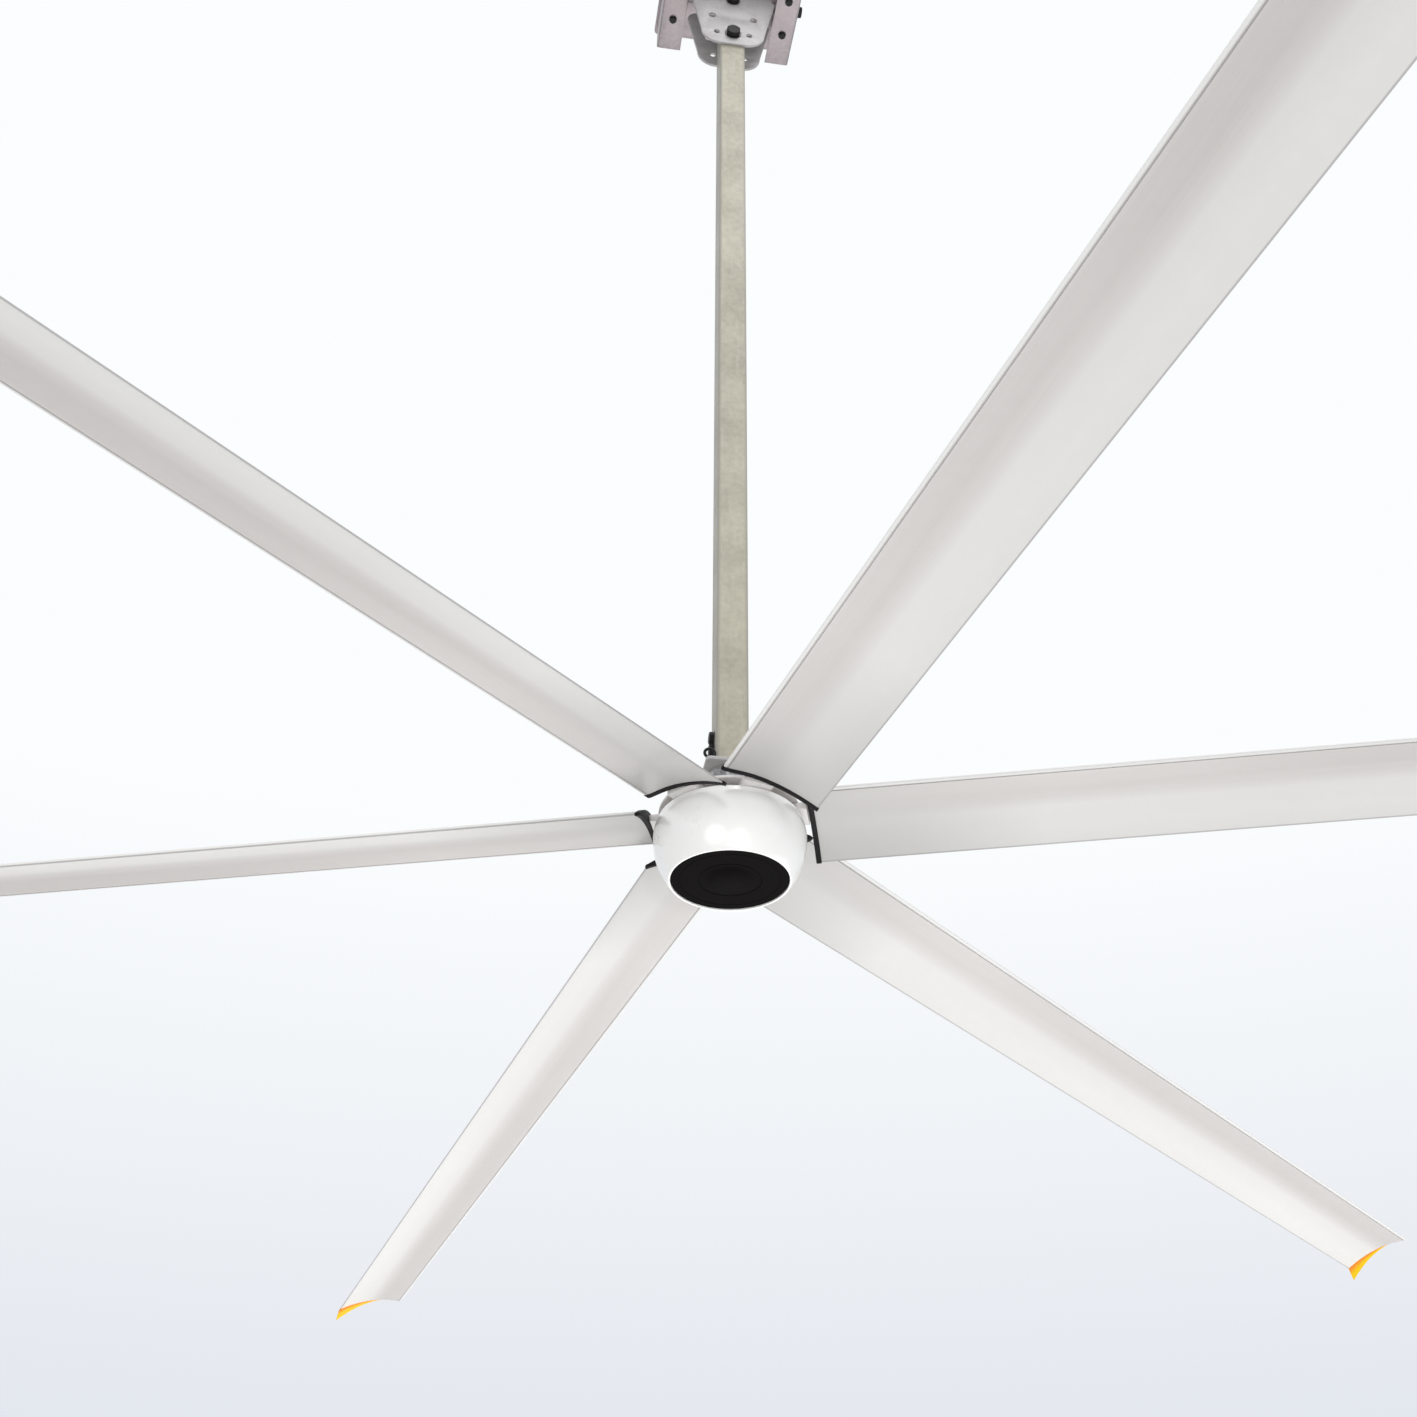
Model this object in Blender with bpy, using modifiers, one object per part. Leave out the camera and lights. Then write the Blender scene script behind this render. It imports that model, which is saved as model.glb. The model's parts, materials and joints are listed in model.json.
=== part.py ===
"""High volume low speed ceiling fan: a six blade rotor on a square downrod under a tilting hanger."""

from math import cos, pi, radians, sin, sqrt

import bmesh
import bpy
from mathutils import Matrix, Vector

# Overall sizes. The top face of the mounting plate is the origin, and the fan hangs below it.
blade_count = 6
blade_end_radius = 3.60
hub_drop = 3.10
rotor_rest_turn = radians(-18)
touch_gap = 0.0003
running_gap = 0.0006
cut_overrun = 0.01

# Mounting plate and hanger angles
plate_size_x = 0.44
plate_size_y = 0.38
plate_thickness = 0.010
anchor_hole_radius = 0.0065
anchor_inset = 0.035
angle_length = 0.34
angle_height = 0.096
angle_foot_width = 0.075
angle_wall = 0.007
angle_outer_x = 0.212
angle_bolt_spacing = 0.12
angle_bolt_radius = 0.006
angle_bolt_bite = 0.006

# Swivel: an upper bolt along X, a lower bolt along Y, and the cross block that both pass through
upper_pivot_drop = 0.064
lower_pivot_drop = 0.122
pivot_radius = 0.010
cross_size_x = 0.070
cross_cheek = 0.026
sleeve_radius = 0.019

# Swivel plates, measured from the tube bolt
swivel_plate_thickness = 0.008
tube_bolt_drop = 0.165
swivel_top_rise = 0.034
swivel_bottom_drop = 0.050
swivel_top_half_width = 0.130
swivel_bottom_half_width = 0.098
swivel_top_corner = 0.034
swivel_bottom_corner = 0.060
upper_hole_x = 0.064
upper_hole_rise = 0.080
upper_hole_radius = 0.011
lower_hole_x = 0.050
lower_hole_radius = 0.009
tube_bolt_radius = 0.012

# Downrod
tube_side = 0.076
tube_wall = 0.005
tube_corner = 0.006
tube_head_margin = 0.044

# Socket between downrod and motor, heights above the blade plane
socket_flange_side = 0.128
socket_flange_bottom = 0.131
socket_flange_thickness = 0.009
spigot_height = 0.125
wire_bore_radius = 0.014
socket_bolt_heights = (0.198, 0.230)
socket_bolt_radius = 0.008
eye_ring_radius = 0.0115
eye_wire_radius = 0.0035
eye_stem_height = 0.006
eye_inset_x = 0.010
eye_inset_y = 0.017

# Motor, heights above the blade plane
shaft_flange_radius = 0.054
shaft_flange_thickness = 0.010
shaft_neck_radius = 0.038
shaft_radius = 0.030
shaft_tail_radius = 0.025
shaft_thread_radius = 0.018
shaft_step_height = 0.064
shaft_tail_height = -0.069
shaft_thread_height = -0.0885
shaft_end_height = -0.106
stator_radius = 0.095
stator_top = -0.004
stator_bottom = -0.050
stator_slot_count = 12
slot_width = 0.012
slot_floor_radius = 0.062
winding_inset = 0.0025
winding_overhang = 0.012
air_gap = 0.0012
magnet_thickness = 0.006
housing_wall = 0.012
housing_bottom = -0.068
flange_thickness = 0.014
bearing_upper_radius = 0.050
bearing_upper_bottom = 0.032
bearing_upper_height = 0.018
bearing_lower_radius = 0.045
bearing_lower_bottom = -0.086
bearing_lower_height = 0.015
end_plate_thickness = 0.008
end_plate_boss_wall = 0.007
nut_flat = 0.048
nut_height = 0.012

# Top cover
cover_edge_height = 0.007
cover_edge_inset = 0.001
cover_shoulder_radius = 0.106
cover_shoulder_rise = 0.025
cover_crown_radius = 0.094
cover_crown_height = 0.062
cover_bore_radius = 0.041
cover_wall = 0.005

# Hub bowl, heights above the blade plane
bowl_wall = 0.003
bowl_rim_height = 0.005
bowl_rim_radius = 0.161
bowl_belly_radius = 0.171
bowl_belly_height = -0.038
bowl_lip_height = -0.143
bowl_lip_radius = 0.136
bowl_side_power = 2.3
bowl_side_steps = 7
disc_radius = 0.131
disc_thickness = 0.004
disc_recess = 0.003
disc_groove_radius = 0.070
disc_groove_width = 0.003
disc_groove_depth = 0.001

# Arms
arm_foot_inner_radius = 0.116
arm_foot_outer_radius = 0.1755
arm_foot_width = 0.070
arm_foot_thickness = 0.018
arm_foot_lift = 0.001
arm_bar_inner_radius = 0.165
arm_bar_outer_radius = 0.900
arm_bar_width = 0.050
arm_bar_thickness = 0.014
arm_sink = 0.002
blade_bolt_inset = 0.050
blade_bolt_radius = 0.006

# Blades
blade_root_radius = 0.190
blade_pitch = radians(14.5)
blade_chord = 0.227
blade_lead = 0.091
blade_thickness_share = 0.110
blade_camber_share = 0.115
camber_peak_share = 0.42
blade_edge_thickness = 0.003
blade_skin = 0.002
blade_web = 0.003
nose_web_margin = 0.010
tail_cavity_margin = 0.016
outline_steps = 9
nose_cavity_steps = 4
tail_cavity_steps = 5
root_cap_thickness = 0.012
root_cap_grow = 0.002

# Winglets
winglet_tail_reach = 0.040
winglet_nose_reach = 0.004
winglet_drop = 0.030
winglet_sweep = 0.012
winglet_edge_share = 0.30
winglet_sections = 4
winglet_growth_power = 1.3
winglet_drop_power = 1.6

# Fasteners: head and nut sizes as shares of the shank radius
head_flat_share = 1.62
head_height_share = 1.25
nut_height_share = 1.45

# Facets
big_facets = 32
bowl_facets = 40
small_facets = 14
fastener_facets = 10
hexagon_sides = 6
corner_steps = 6
tube_corner_steps = 4
weld_distance = 0.000005
screw_merge = 0.00001
smooth_angle = radians(40)

finishes = {
    "galvanised_steel": ((0.62, 0.62, 0.60), 0.42, 0.85),
    "pale_paint": ((0.72, 0.70, 0.72), 0.45, 0.0),
    "tube_paint": ((0.52, 0.51, 0.43), 0.50, 0.1),
    "black_steel": ((0.03, 0.03, 0.035), 0.45, 0.6),
    "white_gloss": ((0.86, 0.86, 0.86), 0.15, 0.0),
    "black_gloss": ((0.012, 0.012, 0.014), 0.18, 0.0),
    "blade_satin": ((0.80, 0.80, 0.79), 0.32, 0.3),
    "black_rubber": ((0.02, 0.02, 0.02), 0.60, 0.0),
    "tip_yellow": ((0.95, 0.50, 0.02), 0.35, 0.0),
    "cast_aluminium": ((0.66, 0.66, 0.67), 0.45, 0.8),
    "bearing_steel": ((0.70, 0.71, 0.72), 0.20, 1.0),
    "magnet_grey": ((0.20, 0.20, 0.21), 0.40, 0.7),
    "core_steel": ((0.30, 0.31, 0.33), 0.50, 0.8),
    "copper_wire": ((0.72, 0.33, 0.14), 0.35, 0.9),
}


# Scene and materials


def clear_scene():
    for old in list(bpy.data.objects):
        bpy.data.objects.remove(old)


def make_collection(name):
    collection = bpy.data.collections.new(name)
    bpy.context.scene.collection.children.link(collection)
    return collection


def make_material(piece_name, finish):
    colour, roughness, metallic = finishes[finish]
    material = bpy.data.materials.new(piece_name)
    material.use_nodes = True
    shader = material.node_tree.nodes["Principled BSDF"]
    shader.inputs["Base Color"].default_value = (*colour, 1)
    shader.inputs["Roughness"].default_value = roughness
    shader.inputs["Metallic"].default_value = metallic
    material.diffuse_color = (*colour, 1)
    return material


clear_scene()
fan_collection = make_collection("ceiling_fan")
cutter_collection = make_collection("cutters")


# Building blocks


def new_object(name, data, collection, matrix):
    piece = bpy.data.objects.new(name, data)
    piece.matrix_world = matrix
    collection.objects.link(piece)
    return piece


def make_cutter(name, mesh, matrix):
    cutter = new_object(name, mesh, cutter_collection, matrix)
    cutter.hide_render = True
    cutter.display_type = "WIRE"
    return cutter


def at(x, y, z):
    return Matrix.Translation((x, y, z))


def hub_at(height=0):
    """A place on the spin axis, at a height above the blade plane."""
    return at(0, 0, -hub_drop + height)


def box_mesh(name, size_x, size_y, size_z):
    """A box centred on its own origin."""
    mesh = bpy.data.meshes.new(name)
    bm = bmesh.new()
    bmesh.ops.create_cube(bm, size=1, matrix=Matrix.Diagonal((size_x, size_y, size_z, 1)))
    bm.to_mesh(mesh)
    bm.free()
    return mesh


def smooth_by_angle(mesh):
    """Shades round faces smooth and keeps the edges of flat ones sharp."""
    mesh.shade_smooth()
    mesh.set_sharp_from_angle(angle=smooth_angle)


def prism_mesh(name, radius, height, facets):
    """A cylinder, or a hexagon head or nut, from z = 0 up to its height."""
    mesh = bpy.data.meshes.new(name)
    bm = bmesh.new()
    bmesh.ops.create_cone(
        bm, cap_ends=True, segments=facets, radius1=radius, radius2=radius, depth=height,
        matrix=at(0, 0, height / 2),
    )
    bm.to_mesh(mesh)
    bm.free()
    smooth_by_angle(mesh)
    return mesh


def ring_points(centre, radius, facets):
    return [
        (centre[0] + radius * cos(2 * pi * k / facets), centre[1] + radius * sin(2 * pi * k / facets))
        for k in range(facets)
    ]


def flat_curve(name, loops, thickness):
    """A flat outline with its holes, as thick as asked, centred on its own plane."""
    curve = bpy.data.curves.new(name, "CURVE")
    curve.dimensions = "2D"
    curve.fill_mode = "BOTH"
    curve.extrude = thickness / 2
    for loop in loops:
        spline = curve.splines.new("POLY")
        spline.points.add(len(loop) - 1)
        for point, (x, y) in zip(spline.points, loop):
            point.co = (x, y, 0, 1)
        spline.use_cyclic_u = True
    return curve


def flat_template(name, loops, thickness):
    """The flat curve as an object at the origin, for baked_mesh to read."""
    return new_object(name, flat_curve(name, loops, thickness), fan_collection, Matrix.Identity(4))


def turned(name, profile, facets):
    """A ring or disc turned from a closed profile of (radius, height), down its outer side first."""
    mesh = bpy.data.meshes.new(name)
    bm = bmesh.new()
    corners = [bm.verts.new((radius, 0, height)) for radius, height in profile]
    on_axis = profile[0][0] == 0 and profile[-1][0] == 0
    for start, end in zip(corners, corners[1:] if on_axis else corners[1:] + corners[:1]):
        bm.edges.new((start, end))
    bm.to_mesh(mesh)
    bm.free()
    piece = new_object(name, mesh, fan_collection, Matrix.Identity(4))
    screw = piece.modifiers.new("turn", "SCREW")
    screw.axis = "Z"
    screw.steps = facets
    screw.render_steps = facets
    screw.use_merge_vertices = True
    screw.merge_threshold = screw_merge
    screw.use_smooth_shade = False
    return piece


def boolean(piece, other, operation):
    modifier = piece.modifiers.new(operation.lower(), "BOOLEAN")
    modifier.operation = operation
    modifier.solver = "EXACT"
    modifier.object = other


def baked_mesh(template, extras=()):
    """The template's evaluated mesh, in its own frame, welded. The template and its cutters go."""
    bpy.context.view_layer.update()
    graph = bpy.context.evaluated_depsgraph_get()
    mesh = bpy.data.meshes.new_from_object(template.evaluated_get(graph))
    bm = bmesh.new()
    bm.from_mesh(mesh)
    bmesh.ops.remove_doubles(bm, verts=bm.verts, dist=weld_distance)
    bmesh.ops.recalc_face_normals(bm, faces=bm.faces)
    bm.to_mesh(mesh)
    bm.free()
    smooth_by_angle(mesh)
    mesh.name = template.name
    for old in (template, *extras):
        bpy.data.objects.remove(old)
    return mesh


def add_piece(name, data, finish, matrix, parent=None):
    piece = new_object(name, data, fan_collection, matrix)
    return finish_piece(piece, finish, parent)


def finish_piece(piece, finish, parent=None):
    piece.data.materials.clear()
    piece.data.materials.append(make_material(piece.name, finish))
    if parent:
        keep = piece.matrix_world.copy()
        piece.parent = parent
        piece.matrix_parent_inverse = parent.matrix_world.inverted()
        piece.matrix_world = keep
    return piece


def bolt_mesh(name, radius, reach, nut_at=None):
    """A hexagon bolt: its head stands on z = 0, its shank runs down to -reach, and its nut ends at nut_at."""
    head_radius = radius * head_flat_share / cos(pi / hexagon_sides)
    head_height = radius * head_height_share
    shank = prism_mesh(name + "_shank", radius, reach + head_height / 2, fastener_facets)
    template = new_object(name, shank, fan_collection, at(0, 0, -reach))
    head = prism_mesh(name + "_head", head_radius, head_height, hexagon_sides)
    extras = [make_cutter(name + "_head", head, Matrix.Identity(4))]
    if nut_at is not None:
        nut_thickness = radius * nut_height_share
        nut = prism_mesh(name + "_nut", head_radius, nut_thickness, hexagon_sides)
        extras.append(make_cutter(name + "_nut", nut, at(0, 0, -nut_at - nut_thickness)))
    for extra in extras:
        boolean(template, extra, "UNION")
    mesh = baked_mesh(template, extras)
    mesh.transform(at(0, 0, -reach))
    return mesh


def hole_along_z(name, radius, length, matrix, facets=small_facets):
    """A cutter that runs both ways past the piece it cuts."""
    mesh = prism_mesh(name, radius, length + 2 * cut_overrun, facets)
    return make_cutter(name, mesh, matrix @ at(0, 0, -length / 2 - cut_overrun))


facing_x = Matrix.Rotation(pi / 2, 4, "Y")
facing_y = Matrix.Rotation(-pi / 2, 4, "X")


# Hanger


def make_mounting_plate():
    half_x = plate_size_x / 2
    half_y = plate_size_y / 2
    outline = [(-half_x, -half_y), (half_x, -half_y), (half_x, half_y), (-half_x, half_y)]
    holes = []
    for side in (-1, 1):
        for end in (-1, 1):
            anchor = (side * (half_x - anchor_inset), end * (half_y - anchor_inset))
            clamp = (side * angle_bolt_x(), end * angle_bolt_spacing / 2)
            holes.append(ring_points(anchor, anchor_hole_radius, small_facets))
            holes.append(ring_points(clamp, angle_bolt_hole(), small_facets))
    mesh = baked_mesh(flat_template("mounting_plate", [outline, *holes], plate_thickness))
    add_piece("mounting_plate", mesh, "galvanised_steel", at(0, 0, -plate_thickness / 2))


def angle_bolt_x():
    return angle_outer_x - angle_foot_width / 2


def angle_bolt_hole():
    return angle_bolt_radius + running_gap


def angle_top():
    return -plate_thickness - touch_gap


def make_hanger_angle(name, side):
    """An angle that runs along Y. Its foot points inwards and its wall rises to the plate."""
    outer = side * angle_outer_x
    wall_inner = side * (angle_outer_x - angle_wall)
    foot_inner = side * (angle_outer_x - angle_foot_width)
    top = angle_top()
    bottom = top - angle_height
    foot_top = bottom + angle_wall
    outline = [
        (outer, bottom), (outer, top), (wall_inner, top),
        (wall_inner, foot_top), (foot_inner, foot_top), (foot_inner, bottom),
    ]
    mesh = baked_mesh(flat_template(name, [outline], angle_length))
    angle = add_piece(name, mesh, "galvanised_steel", Matrix.Rotation(pi / 2, 4, "X"))
    pivot_hole = hole_along_z(
        name + "_pivot_hole", pivot_radius + touch_gap, angle_foot_width,
        at(side * (angle_outer_x - angle_wall / 2), 0, -upper_pivot_drop) @ facing_x,
    )
    boolean(angle, pivot_hole, "DIFFERENCE")
    for number, end in enumerate((-1, 1)):
        bolt_hole = hole_along_z(
            f"{name}_bolt_hole_{number}", angle_bolt_hole(), angle_wall,
            at(side * angle_bolt_x(), end * angle_bolt_spacing / 2, bottom + angle_wall / 2),
        )
        boolean(angle, bolt_hole, "DIFFERENCE")


def make_angle_bolts():
    """Long bolts, heads down, that clamp each angle's foot up to the mounting plate."""
    reach = angle_height + touch_gap + angle_bolt_bite
    mesh = bolt_mesh("angle_bolt", angle_bolt_radius, reach)
    upside_down = Matrix.Rotation(pi, 4, "X")
    head_face = angle_top() - angle_height - touch_gap
    number = 0
    for side in (-1, 1):
        for end in (-1, 1):
            number += 1
            place = at(side * angle_bolt_x(), end * angle_bolt_spacing / 2, head_face) @ upside_down
            add_piece(f"angle_bolt_{number}", mesh.copy(), "black_steel", place)


def make_upper_pivot_bolt():
    span = 2 * (angle_outer_x + touch_gap)
    nut_room = pivot_radius * nut_height_share
    mesh = bolt_mesh("upper_pivot_bolt", pivot_radius, span + nut_room + pivot_radius / 2, span)
    place = at(angle_outer_x + touch_gap, 0, -upper_pivot_drop) @ facing_x
    add_piece("upper_pivot_bolt", mesh, "black_steel", place)


# Cross block, which turns on the upper bolt and carries the lower one


def make_cross_block():
    depth = tube_side - 2 * touch_gap
    height = lower_pivot_drop - upper_pivot_drop + 2 * cross_cheek
    middle = -(upper_pivot_drop + lower_pivot_drop) / 2
    block_mesh = box_mesh("cross_block", cross_size_x, depth, height)
    block = add_piece("cross_block", block_mesh, "galvanised_steel", at(0, 0, middle))
    sleeve_length = 2 * (angle_outer_x - angle_wall - running_gap)
    sleeve = make_cutter(
        "cross_sleeve", prism_mesh("cross_sleeve", sleeve_radius, sleeve_length, big_facets // 2),
        at(-sleeve_length / 2, 0, -upper_pivot_drop) @ facing_x,
    )
    boolean(block, sleeve, "UNION")
    hole_radius = pivot_radius + running_gap
    upper = hole_along_z(
        "cross_upper_hole", hole_radius, sleeve_length, at(0, 0, -upper_pivot_drop) @ facing_x
    )
    lower = hole_along_z("cross_lower_hole", hole_radius, depth, at(0, 0, -lower_pivot_drop) @ facing_y)
    boolean(block, upper, "DIFFERENCE")
    boolean(block, lower, "DIFFERENCE")


# Swivel plates and downrod


def tube_bolt_z():
    return -lower_pivot_drop - tube_bolt_drop


def corner_arc(centre, radius, start, end, steps=corner_steps):
    return [
        (centre[0] + radius * cos(start + (end - start) * k / steps),
         centre[1] + radius * sin(start + (end - start) * k / steps))
        for k in range(steps + 1)
    ]


def swivel_outline():
    """The pear shaped plate, about the tube bolt: wide round shoulders above, drawn in below."""
    top = tube_bolt_drop + swivel_top_rise
    bottom = -swivel_bottom_drop
    low_x = swivel_bottom_half_width - swivel_bottom_corner
    top_x = swivel_top_half_width - swivel_top_corner
    right = corner_arc((low_x, bottom + swivel_bottom_corner), swivel_bottom_corner, -pi / 2, 0)
    right += corner_arc((top_x, top - swivel_top_corner), swivel_top_corner, 0, pi / 2)
    return right + [(-x, y) for x, y in reversed(right)]


def make_swivel_plate(name, side):
    bolt_hole = tube_bolt_radius + touch_gap
    holes = [
        ring_points((0, 0), bolt_hole, small_facets),
        ring_points((0, tube_bolt_drop), pivot_radius + touch_gap, small_facets),
    ]
    for hand in (-1, 1):
        holes.append(ring_points((hand * upper_hole_x, upper_hole_rise), upper_hole_radius, small_facets))
        holes.append(ring_points((hand * lower_hole_x, 0), lower_hole_radius, small_facets))
    place = at(0, side * (tube_side / 2 + touch_gap + swivel_plate_thickness / 2), tube_bolt_z())
    upright = Matrix.Rotation(pi / 2, 4, "X")
    mesh = baked_mesh(flat_template(name, [swivel_outline(), *holes], swivel_plate_thickness))
    add_piece(name, mesh, "pale_paint", place @ upright, downrod_frame)


def make_swivel_bolt(name, radius, height):
    """A bolt along Y through both plates, its head towards the front."""
    half_span = tube_side / 2 + swivel_plate_thickness + 2 * touch_gap
    reach = 2 * half_span + radius * nut_height_share + radius / 2
    mesh = bolt_mesh(name, radius, reach, 2 * half_span)
    head_front = Matrix.Rotation(pi / 2, 4, "X")
    add_piece(name, mesh, "black_steel", at(0, -half_span, height) @ head_front, downrod_frame)


def rounded_square(side, corner):
    half = side / 2
    middle = half - corner
    points = []
    for turn, (x, y) in enumerate(((1, 1), (-1, 1), (-1, -1), (1, -1))):
        start = turn * pi / 2
        points += corner_arc((x * middle, y * middle), corner, start, start + pi / 2, tube_corner_steps)
    return points


def tube_top_z():
    return tube_bolt_z() + tube_head_margin


def tube_bottom_z():
    return -hub_drop + socket_flange_bottom + socket_flange_thickness + touch_gap


def make_downrod_tube():
    length = tube_top_z() - tube_bottom_z()
    outside = rounded_square(tube_side, tube_corner)
    inside = rounded_square(tube_side - 2 * tube_wall, tube_corner / 2)
    template = flat_template("downrod_tube", [outside, inside], length)
    place = at(0, 0, (tube_top_z() + tube_bottom_z()) / 2)
    tube = add_piece("downrod_tube", baked_mesh(template), "tube_paint", place, downrod_frame)
    place = at(0, 0, tube_bolt_z()) @ facing_y
    boolean(tube, hole_along_z("tube_top_hole", tube_bolt_radius + touch_gap, tube_side, place), "DIFFERENCE")
    for number, height in enumerate(socket_bolt_heights):
        boolean(tube, socket_bolt_cutter(f"tube_low_hole_{number}", height), "DIFFERENCE")


def socket_bolt_cutter(name, height):
    return hole_along_z(name, socket_bolt_radius + touch_gap, tube_side, hub_at(height) @ facing_x)


# Socket under the downrod


def make_motor_socket():
    flange_middle = -hub_drop + socket_flange_bottom + socket_flange_thickness / 2
    flange = box_mesh("motor_socket", socket_flange_side, socket_flange_side, socket_flange_thickness)
    socket = add_piece("motor_socket", flange, "pale_paint", at(0, 0, flange_middle), downrod_frame)
    spigot_side = tube_side - 2 * tube_wall - 2 * touch_gap
    template = flat_template("socket_spigot", [rounded_square(spigot_side, tube_corner / 2)], spigot_height)
    spigot = make_cutter("socket_spigot", baked_mesh(template), at(0, 0, flange_middle + spigot_height / 2))
    boolean(socket, spigot, "UNION")
    bore = hole_along_z("socket_bore", wire_bore_radius, 2 * spigot_height, at(0, 0, flange_middle))
    boolean(socket, bore, "DIFFERENCE")
    for number, height in enumerate(socket_bolt_heights):
        boolean(socket, socket_bolt_cutter(f"socket_hole_{number}", height), "DIFFERENCE")


def make_socket_bolts():
    half_span = tube_side / 2 + touch_gap
    reach = 2 * half_span + socket_bolt_radius * nut_height_share + socket_bolt_radius / 2
    head_left = Matrix.Rotation(-pi / 2, 4, "Y")
    for name, height in zip(("socket_bolt_lower", "socket_bolt_upper"), socket_bolt_heights):
        mesh = bolt_mesh(name, socket_bolt_radius, reach, 2 * half_span)
        add_piece(name, mesh, "black_steel", hub_at(height) @ at(-half_span, 0, 0) @ head_left, downrod_frame)


def make_eye_bolt():
    """A lifting eye that stands on a front corner of the socket flange."""
    ring_height = eye_stem_height + eye_ring_radius
    circle = ring_points((0, ring_height), eye_ring_radius, small_facets)
    curve = bpy.data.curves.new("eye_bolt", "CURVE")
    curve.dimensions = "3D"
    curve.bevel_depth = eye_wire_radius
    curve.bevel_resolution = 2
    spline = curve.splines.new("POLY")
    spline.points.add(len(circle) - 1)
    for point, (x, z) in zip(spline.points, circle):
        point.co = (x, 0, z, 1)
    spline.use_cyclic_u = True
    template = new_object("eye_bolt", curve, fan_collection, Matrix.Identity(4))
    ring = make_cutter("eye_ring", baked_mesh(template), Matrix.Identity(4))
    stem_height = eye_stem_height + eye_wire_radius / 2
    stem_mesh = prism_mesh("eye_bolt", 2 * eye_wire_radius, stem_height, fastener_facets)
    stem = new_object("eye_bolt", stem_mesh, fan_collection, Matrix.Identity(4))
    boolean(stem, ring, "UNION")
    half = socket_flange_side / 2
    foot = -hub_drop + socket_flange_bottom + socket_flange_thickness + touch_gap
    place = at(-half + eye_inset_x, -half + eye_inset_y, foot)
    add_piece("eye_bolt", baked_mesh(stem, [ring]), "black_steel", place, downrod_frame)


# Motor: the parts that stand still


def add_turned(name, profile, finish, parent, facets=big_facets):
    mesh = baked_mesh(turned(name, profile, facets))
    return add_piece(name, mesh, finish, hub_at(), parent)


def make_motor_shaft():
    """A hollow shaft: its flange is bolted under the socket, and its tail carries the retaining nut."""
    top = socket_flange_bottom - touch_gap
    profile = [
        (wire_bore_radius, top),
        (shaft_flange_radius, top),
        (shaft_flange_radius, top - shaft_flange_thickness),
        (shaft_neck_radius, top - shaft_flange_thickness),
        (shaft_neck_radius, shaft_step_height),
        (shaft_radius, shaft_step_height),
        (shaft_radius, shaft_tail_height),
        (shaft_tail_radius, shaft_tail_height),
        (shaft_tail_radius, shaft_thread_height),
        (shaft_thread_radius, shaft_thread_height),
        (shaft_thread_radius, shaft_end_height),
        (wire_bore_radius, shaft_end_height),
    ]
    add_turned("motor_shaft", profile, "bearing_steel", downrod_frame)


def tooth_outline(outer_radius, floor_radius, slot_half_width):
    """A ring of teeth with straight sided slots between them."""
    points = []
    step = 2 * pi / stator_slot_count
    outer_half = step / 2 - slot_angle(slot_half_width, outer_radius)
    floor_half = step / 2 - slot_angle(slot_half_width, floor_radius)
    for tooth in range(stator_slot_count):
        middle = tooth * step
        for radius, angle in (
            (floor_radius, middle - floor_half),
            (outer_radius, middle - outer_half),
            (outer_radius, middle - outer_half / 3),
            (outer_radius, middle + outer_half / 3),
            (outer_radius, middle + outer_half),
            (floor_radius, middle + floor_half),
        ):
            points.append((radius * cos(angle), radius * sin(angle)))
    return points


def slot_angle(half_width, radius):
    """The turn, in radians, that half a slot takes up at a radius."""
    return half_width / radius


def make_stator_core():
    height = stator_top - stator_bottom
    loops = [
        tooth_outline(stator_radius, slot_floor_radius, slot_width / 2),
        ring_points((0, 0), shaft_radius + touch_gap, big_facets),
    ]
    mesh = baked_mesh(flat_template("stator_core", loops, height))
    add_piece("stator_core", mesh, "core_steel", hub_at((stator_top + stator_bottom) / 2), downrod_frame)


def make_stator_winding():
    """The coils as one ring above and below the core, joined through its slots."""
    inner = slot_floor_radius + touch_gap
    outer = stator_radius - winding_inset
    top = stator_top + winding_overhang
    bottom = stator_bottom - winding_overhang
    profile = [(outer, top), (outer, bottom), (inner, bottom), (inner, top)]
    winding = add_turned("stator_winding", profile, "copper_wire", downrod_frame)
    window_height = stator_top - stator_bottom + 2 * touch_gap
    outline = tooth_outline(outer + cut_overrun, slot_floor_radius, slot_width / 2 - touch_gap)
    mesh = baked_mesh(flat_template("winding_windows", [outline], window_height))
    windows = make_cutter("winding_windows", mesh, hub_at((stator_top + stator_bottom) / 2))
    boolean(winding, windows, "DIFFERENCE")


# Motor: the parts that turn


def magnet_inner():
    return stator_radius + air_gap


def housing_inner():
    return magnet_inner() + magnet_thickness + touch_gap


def housing_outer():
    return housing_inner() + housing_wall


def flange_top():
    return bowl_rim_height + arm_foot_lift - touch_gap


def bowl_outer(height):
    """The bowl's outer radius: a short flare from the rim to the belly, then a swell down to the lip."""
    if height >= bowl_belly_height:
        share = (height - bowl_belly_height) / (bowl_rim_height - bowl_belly_height)
        return bowl_belly_radius - (bowl_belly_radius - bowl_rim_radius) * share * share
    share = (bowl_belly_height - height) / (bowl_belly_height - bowl_lip_height)
    return bowl_belly_radius - (bowl_belly_radius - bowl_lip_radius) * share ** bowl_side_power


def flange_radius():
    return bowl_outer(flange_top() - flange_thickness) - bowl_wall - 2 * touch_gap


def make_magnet_ring():
    top = stator_top
    bottom = stator_bottom
    outer = magnet_inner() + magnet_thickness
    profile = [(outer, top), (outer, bottom), (magnet_inner(), bottom), (magnet_inner(), top)]
    add_turned("magnet_ring", profile, "magnet_grey", rotor_frame)


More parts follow.
